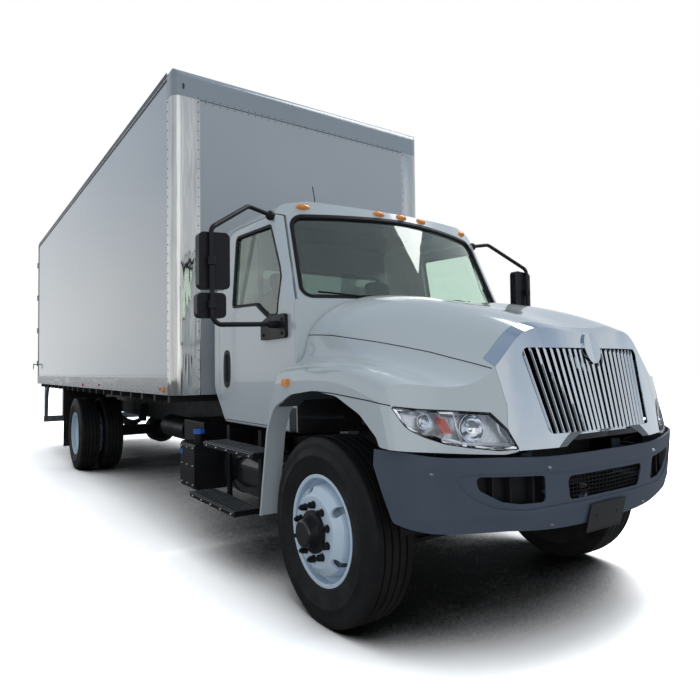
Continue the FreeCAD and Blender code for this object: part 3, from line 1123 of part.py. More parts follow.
def add_cab():
    outer = cab_form(0.0)
    inner = cab_form(CAB_WALL)
    shell = outer.cut(inner)
    door_space = prism_y(door_outline(0.0), 700.0, 1300.0).common(side_slab(CAB_WALL))
    opening = prism_y(door_outline(-DOOR_GAP), 700.0, 1300.0).common(side_slab(CAB_WALL + 15.0))
    windshield = prism_x(windshield_outline(0.0), -900.0, 0.0)
    rear_window = prism_x(rear_window_outline(0.0), -1900.0, -1500.0, 60.0)
    glass_layer = cab_form(GLASS_INSET).cut(cab_form(GLASS_INSET + GLASS_THICKNESS))
    body = shell.cut([opening, mirrored(opening), windshield, rear_window])
    floor = body.common(block(-2000.0, 0.0, -1300.0, 1300.0, 900.0, FLOOR_TOP_Z))
    floor = floor.cut(block(-2000.0, 0.0, -RAIL_OUTER_HALF - 20.0, RAIL_OUTER_HALF + 20.0,
                            900.0, RAIL_TOP_Z + 12.0))
    rests = []
    for x in (-1600.0, -620.0):
        rests += both_sides(block(x - 50.0, x + 50.0, RAIL_OUTER_HALF + SEAT_GAP, RAIL_OUTER_HALF + 90.0,
                                  RAIL_TOP_Z - 80.0, CAB_BOTTOM_Z + 10.0))
    keep("cab_floor", fuse([floor] + rests))
    keep("cab_shell", body.common(block(-2000.0, 0.0, -1300.0, 1300.0, FLOOR_TOP_Z, 2800.0)))
    front_glass = glass_layer.common(windshield)
    back_glass = glass_layer.common(rear_window)
    keep("cab_glass", [front_glass, back_glass])
    window = prism_y(window_outline(0.0), 700.0, 1300.0)
    door = outer.common(door_space)
    door = door.cut(window)
    rounding = Part.makeCylinder(DOOR_FRONT_X - DOOR_HINGE_X, 900.0, Vector(DOOR_HINGE_X, DOOR_HINGE_Y, 1200.0))
    corner = block(DOOR_HINGE_X, DOOR_FRONT_X + 1.0, DOOR_HINGE_Y, 1300.0, 1200.0, 2100.0).cut(rounding)
    heel = block(DOOR_HINGE_X - DOOR_HEEL, DOOR_FRONT_X + 1.0, DOOR_HINGE_Y - DOOR_HEEL, 1300.0, 1200.0, 1324.0)
    door = door.cut([corner, heel])
    glass = glass_layer.common(window)
    mirror = make_mirror()
    keep("door_left", door)
    keep("door_right", mirrored(door))
    keep("door_window_left", glass)
    keep("door_window_right", mirrored(glass))
    keep("mirror_left", mirror)
    keep("mirror_right", mirrored(mirror))
    lamps = []
    for y in (-750.0, -200.0, 0.0, 200.0, 750.0):
        lamps.append(make_roof_lamp(y, outer))
    keep("roof_marker_lamps", lamps)


def make_roof_lamp(y, cab_outer):
    x = WINDSHIELD_X - y * y / 4080.0 - WINDSHIELD_LEAN * (2478.0 - WINDSHIELD_BASE_Z)
    lamp = Part.makeSphere(1.0)
    matrix = FreeCAD.Matrix()
    matrix.scale(46.0, 56.0, 26.0)
    lamp = lamp.transformGeometry(matrix)
    lamp.translate(Vector(x - 26.0, y, 2490.0))
    return lamp.cut(cab_outer)


def make_mirror():
    """Left mirror: tube frame from the door to two heads, on a base plate and an upper mount."""
    y_out = 1464.0
    low, high = 1649.0, 2236.0
    tube = rod_path([Vector(-600.0, 1040.0, 1665.0), Vector(-618.0, y_out, low),
                     Vector(-636.0, y_out, high), Vector(-790.0, 1146.0, 2452.0), Vector(-812.0, 980.0, 2424.0)],
                    15.0, 60.0)
    plate = prism_y([(-838.0, 1572.0), (-838.0, 1690.0, 30.0), (-720.0, 1728.0, 20.0), (-505.0, 1728.0, 20.0),
                     (-500.0, 1575.0, 20.0)], 1016.0 + SEAT_GAP, 1040.0, 12.0)
    collar = cylinder(24.0, Vector(-603.0, 1036.0, 1664.0), Vector(-606.0, 1110.0, 1661.0))
    ball = Part.makeSphere(34.0, Vector(-815.0, 972.0, 2420.0))
    big = prism_x([(y_out - 128.0, 1872.0), (y_out + 70.0, 1864.0), (y_out + 70.0, 2210.0), (y_out - 128.0, 2222.0)],
                  -712.0, -652.0, 34.0)
    small = prism_x([(y_out - 100.0, 1694.0), (y_out + 84.0, 1690.0), (y_out + 84.0, 1840.0), (y_out - 100.0, 1848.0)],
                    -706.0, -646.0, 30.0)
    clamps = [Part.makeCylinder(24.0, 50.0, Vector(-627.0, y_out, 2010.0)),
              block(-664.0, -620.0, y_out - 16.0, y_out + 16.0, 2016.0, 2054.0),
              Part.makeCylinder(24.0, 44.0, Vector(-621.0, y_out, 1748.0)),
              block(-660.0, -616.0, y_out - 14.0, y_out + 14.0, 1752.0, 1788.0)]
    return fuse([tube, plate, collar, big, small] + clamps + [ball.cut(cab_form(0.0))])


def add_interior():
    floor = FLOOR_TOP_Z
    seats = []
    for y in (-480.0, 480.0):
        pedestal = block(-1420.0, -1040.0, y - 190.0, y + 190.0, floor, floor + 300.0)
        cushion = prism_y([(-1480.0, floor + 300.0), (-960.0, floor + 300.0), (-960.0, floor + 430.0),
                           (-1480.0, floor + 400.0)], y - 250.0, y + 250.0, 50.0)
        back = prism_y([(-1500.0, floor + 395.0), (-1370.0, floor + 395.0), (-1480.0, floor + 1130.0),
                        (-1590.0, floor + 1130.0)], y - 240.0, y + 240.0, 50.0)
        seats.append(fuse([pedestal, cushion, back]))
    keep("seats", seats)
    dash_limit = cab_form(CAB_WALL + SEAT_GAP)
    dash = prism_y([(-640.0, 1420.0), (-300.0, 1420.0), (-300.0, 1760.0), (-560.0, 1752.0), (-720.0, 1690.0)],
                   -900.0, 900.0, 30.0).common(dash_limit)
    keep("dashboard", dash)
    hub = Vector(-850.0, 480.0, 1660.0)
    ring = Part.makeTorus(218.0, 15.0)
    spoke = block(-214.0, 214.0, -16.0, 16.0, -8.0, 8.0)
    lower_spoke = block(-16.0, 16.0, -214.0, 0.0, -8.0, 8.0)
    boss = Part.makeCylinder(60.0, 40.0, Vector(0, 0, -26.0))
    wheel = fuse([ring, spoke, lower_spoke, boss])
    wheel.rotate(Vector(0, 0, 0), Vector(0, 0, 1), 90)
    wheel.rotate(Vector(0, 0, 0), Vector(0, 1, 0), -30)
    wheel.translate(hub)
    column = cylinder(30.0, hub + Vector(10.0, 0, -18.0), hub + Vector(190.0, 0, -329.0 + 110.0))
    keep("steering_wheel", fuse([wheel, column]).cut(dash.copy()))


# Cargo body

def cargo_corner(z0, z1):
    """Plan band of one front corner: flat on the front, round at the corner, flat on the side."""
    half = CARGO_WIDTH / 2.0
    front = CARGO_FRONT_X
    outer = [(front, half - POST_FRONT_REACH), (front, half, POST_RADIUS), (front - POST_SIDE_REACH, half)]
    inner = [(front - POST_SIDE_REACH, half - POST_WALL), (front - POST_WALL, half - POST_WALL, POST_RADIUS - POST_WALL),
             (front - POST_WALL, half - POST_FRONT_REACH)]
    return prism_z(outer + inner, z0, z1)


def sill_x(index):
    step = (CARGO_LENGTH - 500.0) / (CROSS_SILLS - 1)
    return CARGO_FRONT_X - 208.0 - step * index


def flap_sill_x():
    """The cross sill that carries the mud flaps, the first one clear behind the wheels."""
    limit = -WHEELBASE - TYRE_OD / 2.0 - 140.0
    return max(sill_x(index) for index in range(CROSS_SILLS) if sill_x(index) < limit)


def add_cargo_body():
    half = CARGO_WIDTH / 2.0
    front = CARGO_FRONT_X
    rear = front - CARGO_LENGTH
    side_out = half - RAIL_PROUD
    side_in = side_out - SIDE_WALL
    frame_front = rear + FRAME_DEPTH
    side = block(frame_front, front - POST_SIDE_REACH, side_in, side_out, CARGO_FLOOR_TOP_Z, TOP_RAIL_Z + 20.0)
    keep("cargo_side_left", side)
    keep("cargo_side_right", mirrored(side))
    keep("cargo_front_wall", block(front - POST_WALL, front, POST_FRONT_REACH - half, half - POST_FRONT_REACH,
                                   CARGO_BOTTOM_Z, CAP_SEAM_Z))
    keep("cargo_corner_posts", both_sides(cargo_corner(CARGO_BOTTOM_Z, CAP_SEAM_Z)))
    floor = block(frame_front, front - POST_WALL, -side_in, side_in,
                  CARGO_FLOOR_TOP_Z - CARGO_FLOOR_THICKNESS, CARGO_FLOOR_TOP_Z)
    floor = floor.cut([cargo_corner(1000.0, 1400.0).fuse(mirrored(cargo_corner(1000.0, 1400.0)))])
    pieces = [floor]
    sill_top = CARGO_FLOOR_TOP_Z - CARGO_FLOOR_THICKNESS
    sill_bottom = RAIL_TOP_Z + 110.0
    for index in range(CROSS_SILLS):
        x = sill_x(index)
        pieces.append(block(x - 25.0, x + 25.0, -side_in, side_in, sill_bottom, sill_top))
    for side_sign in (-1.0, 1.0):
        y0, y1 = sorted((side_sign * (RAIL_OUTER_HALF - 80.0), side_sign * RAIL_OUTER_HALF))
        pieces.append(block(frame_front, front - 100.0, y0, y1, RAIL_TOP_Z + SEAT_GAP, sill_bottom))
    keep("cargo_floor", fuse(pieces))
    bottom_rail = prism_x([(side_out + 0.0, CARGO_FLOOR_TOP_Z - 30.0), (side_in, CARGO_FLOOR_TOP_Z - 30.0),
                           (side_in, CARGO_FLOOR_TOP_Z - 60.0), (half - 12.0, CARGO_FLOOR_TOP_Z - 60.0),
                           (half - 12.0, CARGO_BOTTOM_Z), (half, CARGO_BOTTOM_Z), (half, BOTTOM_RAIL_TOP_Z, 4.0),
                           (side_out + 0.3, BOTTOM_RAIL_TOP_Z), (side_out + 0.3, CARGO_FLOOR_TOP_Z - 30.0)],
                          frame_front, front - POST_SIDE_REACH)
    top_rail = prism_x([(side_out + 0.3, TOP_RAIL_Z), (half, TOP_RAIL_Z), (half, CARGO_TOP_Z, 40.0),
                        (half - 90.0, CARGO_TOP_Z), (half - 90.0, CARGO_TOP_Z - 30.0), (side_out + 0.3, CARGO_TOP_Z - 40.0)],
                       frame_front, front - POST_SIDE_REACH)
    keep("cargo_rails", both_sides(bottom_rail) + both_sides(top_rail))
    keep("cargo_roof", block(frame_front, front - POST_SIDE_REACH, 92.0 - half, half - 92.0,
                             CARGO_TOP_Z - 34.0, CARGO_TOP_Z - 6.0))
    add_front_cap()
    add_rear_frame(rear)


def add_front_cap():
    outer = cap_form(0.0)
    inner = cap_form(POST_WALL)
    inner.translate(Vector(-1.0, 0, -POST_WALL))
    keep("cargo_front_cap", outer.cut(inner))


def cap_form(inset):
    """Rounded cap over the front wall: plan corners and the top edge are both rounded."""
    half = CARGO_WIDTH / 2.0 - inset
    front = CARGO_FRONT_X - inset
    back = CARGO_FRONT_X - POST_SIDE_REACH
    plan = prism_z([(back, -half), (front, -half, POST_RADIUS - inset), (front, half, POST_RADIUS - inset),
                    (back, half)], CAP_SEAM_Z, CARGO_TOP_Z)
    side = prism_y([(back - 10.0, CAP_SEAM_Z), (front, CAP_SEAM_Z), (front, CARGO_TOP_Z, 75.0),
                    (back - 10.0, CARGO_TOP_Z)], -1400.0, 1400.0)
    face = prism_x([(-half, CAP_SEAM_Z), (half, CAP_SEAM_Z), (half, CARGO_TOP_Z, 40.0), (-half, CARGO_TOP_Z, 40.0)],
                   -2200.0, -1800.0)
    return plan.common(side).common(face)


def add_rear_frame(rear):
    half = CARGO_WIDTH / 2.0
    portal = prism_x([(-half, CARGO_BOTTOM_Z), (half, CARGO_BOTTOM_Z), (half, CARGO_TOP_Z, 20.0),
                      (-half, CARGO_TOP_Z, 20.0)], rear, rear + FRAME_DEPTH)
    doorway = block(rear - 10.0, rear + FRAME_DEPTH + 10.0, -DOORWAY_HALF, DOORWAY_HALF,
                    DOORWAY_BOTTOM_Z, DOORWAY_TOP_Z)
    pieces = [portal.cut(doorway)]
    pieces.append(block(rear - SILL_PROUD, rear + 10.0, -SILL_HALF, SILL_HALF, CARGO_BOTTOM_Z, DOORWAY_BOTTOM_Z))
    door_bottom = DOORWAY_BOTTOM_Z + RUNNING_GAP + 1.0
    door_top = DOORWAY_TOP_Z - RUNNING_GAP - 1.0
    pin_x = rear - 18.0
    pin_y = half + 1.0
    face = rear + 8.0
    door_edge = DOORWAY_HALF - RUNNING_GAP
    leaf = block(face, face + CARGO_DOOR_THICKNESS, 6.0, door_edge, door_bottom, door_top)
    door = [leaf]
    bores = []
    for index in range(CARGO_HINGES):
        z = door_bottom + 260.0 + index * (door_top - door_bottom - 520.0) / (CARGO_HINGES - 1)
        strap = block(rear - 10.0, rear - 4.0, door_edge - 260.0, pin_y, z - 26.0, z + 26.0)
        foot = block(rear - 10.0, face, door_edge - 260.0, door_edge - 10.0, z - 26.0, z + 26.0)
        barrel = Part.makeCylinder(14.0, 52.0, Vector(pin_x, pin_y, z - 26.0))
        door += [strap, foot, barrel]
        bores.append(Part.makeCylinder(CARGO_HINGE_PIN_RADIUS + 0.05, 60.0, Vector(pin_x, pin_y, z - 30.0)))
        for low in (z - 48.0, z + 28.0):
            ear = Part.makeCylinder(14.0, 20.0, Vector(pin_x, pin_y, low))
            butt = block(pin_x - 6.0, rear + 30.0, half - 0.0, pin_y + 8.0, low, low + 20.0)
            root = block(pin_x - 6.0, rear, half - 40.0, pin_y, low, low + 20.0)
            pieces += both_sides(fuse([ear, butt, root]))
        pieces += both_sides(Part.makeCylinder(CARGO_HINGE_PIN_RADIUS, 96.0, Vector(pin_x, pin_y, z - 48.0)))
    door = fuse(door).cut(bores)
    keep("cargo_door_left", door)
    keep("cargo_door_right", mirrored(door))
    rod_x = face - 34.0
    rod_y = 150.0
    rod = [Part.makeCylinder(13.5, door_top - door_bottom - 30.0, Vector(rod_x, rod_y, door_bottom + 15.0))]
    for z in (door_bottom + 90.0, (door_bottom + door_top) / 2.0, door_top - 130.0):
        rod.append(block(rod_x - 18.0, face - SEAT_GAP, rod_y - 24.0, rod_y + 24.0, z, z + 44.0))
    lever_z = door_bottom + 560.0
    rod.append(block(rear - REAR_HARDWARE, rod_x + 6.0, rod_y - 10.0, rod_y + 380.0, lever_z, lever_z + 34.0))
    lock = fuse(rod)
    keep("cargo_lock_left", lock)
    keep("cargo_lock_right", mirrored(lock))
    keep("cargo_rear_frame", fuse(pieces))
    add_rear_guard(rear)


def add_rear_guard(rear):
    """Underride guard, mud flaps and the body's lamps."""
    frame_end = rear + FRAME_DEPTH - 1.0
    sill_bottom = RAIL_TOP_Z + 110.0 - SEAT_GAP
    leg = prism_y([(rear + 20.0, CARGO_BOTTOM_Z - SEAT_GAP), (frame_end, CARGO_BOTTOM_Z - SEAT_GAP),
                   (frame_end, sill_bottom), (rear + 330.0, sill_bottom), (rear + 170.0, 960.0, 200.0),
                   (rear + 120.0, 560.0), (rear + 112.0, GUARD_BOTTOM_Z), (rear + 20.0, GUARD_BOTTOM_Z)],
                  820.0, 872.0)
    bar = prism_y([(rear + 14.0, GUARD_BOTTOM_Z), (rear + 114.0, GUARD_BOTTOM_Z), (rear + 114.0, 560.0),
                   (rear + 14.0, 560.0)], -1190.0, 1190.0, 14.0)
    outer_leg = leg.copy()
    outer_leg.translate(Vector(0, 310.0, 0))
    keep("underride_guard", fuse([bar] + both_sides(leg) + both_sides(outer_leg)))
    flap_x = flap_sill_x() - 25.0 - SEAT_GAP
    flap = block(flap_x - 8.0, flap_x, 640.0, 1250.0, 250.0, CARGO_BOTTOM_Z - 2.0)
    keep("mud_flaps", both_sides(flap))
    lamps = []
    for side in (-1.0, 1.0):
        for y in (960.0, 1080.0):
            lamps.append(cylinder(48.0, Vector(rear - 10.0, side * y, 1237.0), Vector(rear - SEAT_GAP, side * y, 1237.0)))
        y = side * (CARGO_WIDTH / 2.0)
        lamps.append(block(-2200.0, -2160.0, *sorted((y + side * SEAT_GAP, y + side * 12.0)), 1216.0, 1238.0))
        lamps.append(block(-4560.0, -4520.0, *sorted((y + side * SEAT_GAP, y + side * 12.0)), 1216.0, 1238.0))
    keep("body_lamps", lamps)


def save_nodes():
    rear_reach = -(CARGO_FRONT_X - CARGO_LENGTH - REAR_HARDWARE)
    shift = (rear_reach - FRONT_OVERHANG) / 2.0
    os.makedirs("parts", exist_ok=True)
    for name, shapes in NODES.items():
        shape = shapes[0] if len(shapes) == 1 else Part.makeCompound(shapes)
        moved = shape.copy()
        moved.translate(Vector(shift, 0, 0))
        moved.exportStep("parts/" + name + ".step")
        solids = moved.Solids
        bounds = moved.BoundBox
        print(name, len(solids), moved.isValid(), round(sum(s.Volume for s in solids) / 1e6, 2),
              [round(v) for v in (bounds.XMin - shift, bounds.XMax - shift, bounds.YMin, bounds.YMax,
                                  bounds.ZMin, bounds.ZMax)])


add_wheels()
add_front_axle()
add_steering()
add_frame()
add_springs()
add_rear_axle()
add_drivetrain()
add_radiator()
add_tanks()
add_steps()
add_bumper()
add_hood()
add_cab()
add_interior()
add_cargo_body()
save_nodes()
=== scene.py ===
import bmesh
import bpy
import json
import math
from mathutils import Matrix, Vector
from mathutils.bvhtree import BVHTree


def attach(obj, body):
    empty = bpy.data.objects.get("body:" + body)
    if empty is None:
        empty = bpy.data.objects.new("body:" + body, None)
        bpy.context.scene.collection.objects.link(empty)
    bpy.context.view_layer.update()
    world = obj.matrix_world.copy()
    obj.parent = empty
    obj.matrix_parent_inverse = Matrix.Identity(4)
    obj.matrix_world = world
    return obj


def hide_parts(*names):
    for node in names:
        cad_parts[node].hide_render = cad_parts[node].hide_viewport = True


# Looks of a box truck on its CAD frame. Metres; +X forward, +Y to the truck's left, +Z up.
# Sizes below are millimetres counted from the front axle, as at() expects.

FRONT_AXLE_X = 4.4245
WHEELBASE = 6453.0
TYRE_RADIUS = 506.0
FRONT_TRACK_HALF = 989.0
REAR_TRACK_HALF = 941.5
DISC_OFFSET = 155.5
NUT_CIRCLE = 142.9
NUTS = 10
SPIN_STEPS = 120
SIDES = (("left", 1.0), ("right", -1.0))

# Camera solved from the photograph
CAMERA_AT = (2717.8, -2788.6, 1370.6)
CAMERA_YAW = 2.5333
CAMERA_PITCH = 0.0334
CAMERA_ROLL = -0.0119
FOCAL_PX = 586.26
FRAME_PX = 700.0
SENSOR_MM = 36.0

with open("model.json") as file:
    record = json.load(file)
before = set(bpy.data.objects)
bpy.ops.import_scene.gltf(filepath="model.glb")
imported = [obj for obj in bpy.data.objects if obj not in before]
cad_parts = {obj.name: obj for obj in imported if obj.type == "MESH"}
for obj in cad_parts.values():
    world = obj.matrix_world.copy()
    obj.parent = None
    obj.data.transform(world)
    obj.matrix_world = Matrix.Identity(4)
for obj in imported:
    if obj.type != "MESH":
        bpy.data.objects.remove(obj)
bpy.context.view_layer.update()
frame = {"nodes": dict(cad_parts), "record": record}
NODES = frame["nodes"]


def at(x, y, z):
    """Front-axle millimetres to the frame's metres."""
    return Vector((x / 1000.0 + FRONT_AXLE_X, y / 1000.0, z / 1000.0))


# Materials

VECTOR = "ShaderNodeVectorMath"
NOISE_SPAN = (0.3, 0.7)
DUST_FLOOR = 0.2


def base_material(name):
    mat = bpy.data.materials.new(name)
    mat.use_nodes = True
    tree = mat.node_tree
    return mat, tree, tree.nodes["Principled BSDF"]


def object_coords(tree):
    """The object's own metres, so that a look stays put on every piece."""
    return tree.nodes.new("ShaderNodeTexCoord").outputs["Object"]


def math_node(tree, operation, first, second=None, kind="ShaderNodeMath"):
    """A Math or Vector Math node; each input is a socket, a number or a vector."""
    node = tree.nodes.new(kind)
    node.operation = operation
    for index, value in enumerate((first, second)):
        if isinstance(value, (float, tuple)):
            node.inputs[index].default_value = value
        elif value is not None:
            tree.links.new(value, node.inputs[index])
    return node.outputs["Vector" if kind == VECTOR and operation != "LENGTH" else "Value"]


def map_range(tree, source, span, result=(0.0, 1.0)):
    node = tree.nodes.new("ShaderNodeMapRange")
    for name, value in zip(("From Min", "From Max", "To Min", "To Max"), span + result):
        node.inputs[name].default_value = value
    tree.links.new(source, node.inputs["Value"])
    return node.outputs["Result"]


def spread(tree, source, low, high):
    return map_range(tree, source, NOISE_SPAN, (low, high))


def split_axes(tree, vector):
    node = tree.nodes.new("ShaderNodeSeparateXYZ")
    tree.links.new(vector, node.inputs["Vector"])
    return list(node.outputs)


def noise_node(tree, scale, detail=3.0, stretch=(1.0, 1.0, 1.0)):
    mapping = tree.nodes.new("ShaderNodeMapping")
    mapping.inputs["Scale"].default_value = stretch
    noise = tree.nodes.new("ShaderNodeTexNoise")
    noise.inputs["Scale"].default_value = scale
    noise.inputs["Detail"].default_value = detail
    tree.links.new(object_coords(tree), mapping.inputs["Vector"])
    tree.links.new(mapping.outputs["Vector"], noise.inputs["Vector"])
    return noise.outputs["Fac"]


def ramp(tree, source, low, high, color_a, color_b):
    node = tree.nodes.new("ShaderNodeValToRGB")
    for element, place, color in zip(node.color_ramp.elements, (low, high), (color_a, color_b)):
        element.position = place
        element.color = (*color, 1.0)
    tree.links.new(source, node.inputs["Fac"])
    return node.outputs["Color"]


def mixed(tree, factor, color_a, color_b):
    """Blend two colours, each a socket or a plain colour, by a factor socket."""
    mix = tree.nodes.new("ShaderNodeMix")
    mix.data_type = "RGBA"
    tree.links.new(factor, mix.inputs["Factor"])
    for name, color in (("A", color_a), ("B", color_b)):
        if isinstance(color, tuple):
            mix.inputs[name].default_value = (*color, 1.0)
        else:
            tree.links.new(color, mix.inputs[name])
    return mix.outputs["Result"]


def add_bump(tree, shader, source, distance):
    node = tree.nodes.new("ShaderNodeBump")
    node.inputs["Distance"].default_value = distance
    node.inputs["Strength"].default_value = 1.0
    tree.links.new(source, node.inputs["Height"])
    tree.links.new(node.outputs["Normal"], shader.inputs["Normal"])


def shaded(color, factor):
    return tuple(min(1.0, c * factor) for c in color)


def surface(name, color, rough, metal, vary, scale, rough_vary, bump, bump_scale,
            coat=0.0, coat_rough=0.04, stretch=(1.0, 1.0, 1.0)):
    """A finish whose colour, roughness and relief all vary a little over the surface."""
    mat, tree, shader = base_material(name)
    noise = noise_node(tree, scale, 4.0, stretch)
    colour = ramp(tree, noise, *NOISE_SPAN, shaded(color, 1.0 - vary), shaded(color, 1.0 + vary))
    tree.links.new(colour, shader.inputs["Base Color"])
    tree.links.new(spread(tree, noise, max(0.02, rough - rough_vary), rough + rough_vary),
                   shader.inputs["Roughness"])
    shader.inputs["Metallic"].default_value = metal
    shader.inputs["Coat Weight"].default_value = coat
    shader.inputs["Coat Roughness"].default_value = coat_rough
    add_bump(tree, shader, noise_node(tree, bump_scale, 2.0, stretch), bump)
    return mat


def dusted(name, color, dust, rough, top, amount, bump, bump_scale):
    """A finish that gathers road dust towards the ground and in patches."""
    mat, tree, shader = base_material(name)
    height = map_range(tree, split_axes(tree, object_coords(tree))[2], (DUST_FLOOR, top), (1.0, 0.1))
    mask = math_node(tree, "MULTIPLY", height, spread(tree, noise_node(tree, 7.0, 6.0), 0.0, amount))
    tree.links.new(ramp(tree, mask, 0.0, 1.0, color, dust), shader.inputs["Base Color"])
    tree.links.new(spread(tree, noise_node(tree, 9.0), rough - 0.08, rough + 0.1), shader.inputs["Roughness"])
    add_bump(tree, shader, noise_node(tree, bump_scale, 2.0), bump)
    return mat


def clear_surface(name, color, rough, ior):
    mat, tree, shader = base_material(name)
    shader.inputs["Base Color"].default_value = (*color, 1.0)
    shader.inputs["Transmission Weight"].default_value = 1.0
    shader.inputs["IOR"].default_value = ior
    tree.links.new(spread(tree, noise_node(tree, 3.0), rough, rough + 0.02), shader.inputs["Roughness"])
    return mat


def recoloured(mat, inside, dark):
    """Turn a finish dark where a mask is one."""
    tree = mat.node_tree
    socket = tree.nodes["Principled BSDF"].inputs["Base Color"]
    tree.links.new(mixed(tree, inside, socket.links[0].from_socket, dark), socket)
    return mat


def darken_box(mat, dark, low, high):
    """Turn a finish dark inside a box of the object's own metres, as painted shade in some boxes and as a real
    dark colour in others; sideways limits count both ways.
    """
    tree = mat.node_tree
    axes = split_axes(tree, object_coords(tree))
    axes[1] = math_node(tree, "ABSOLUTE", axes[1])
    inside = None
    for axis, least, most in zip(axes, low, high):
        for limit, operation in ((least, "GREATER_THAN"), (most, "LESS_THAN")):
            within = math_node(tree, operation, axis, limit)
            inside = within if inside is None else math_node(tree, "MULTIPLY", inside, within)
    return recoloured(mat, inside, dark)


def hub_dark(mat, dark, reach, axles):
    """Turn a wheel's finish dark within a radius of its axle; axles are x values."""
    tree = mat.node_tree
    inside = None
    for x in axles:
        apart = math_node(tree, "SUBTRACT", object_coords(tree), (x, 0.0, TYRE_RADIUS / 1000.0), VECTOR)
        flat = math_node(tree, "MULTIPLY", apart, (1.0, 0.0, 1.0), VECTOR)
        near = math_node(tree, "LESS_THAN", math_node(tree, "LENGTH", flat, None, VECTOR), reach)
        inside = near if inside is None else math_node(tree, "MAXIMUM", inside, near)
    return recoloured(mat, inside, dark)


DEEP_BLACK = (0.012, 0.012, 0.013)
PAINT = ((0.47, 0.535, 0.575), 0.2, 0.0, 0.015, 1.2, 0.03, 0.00006, 420.0, 0.7, 0.03)
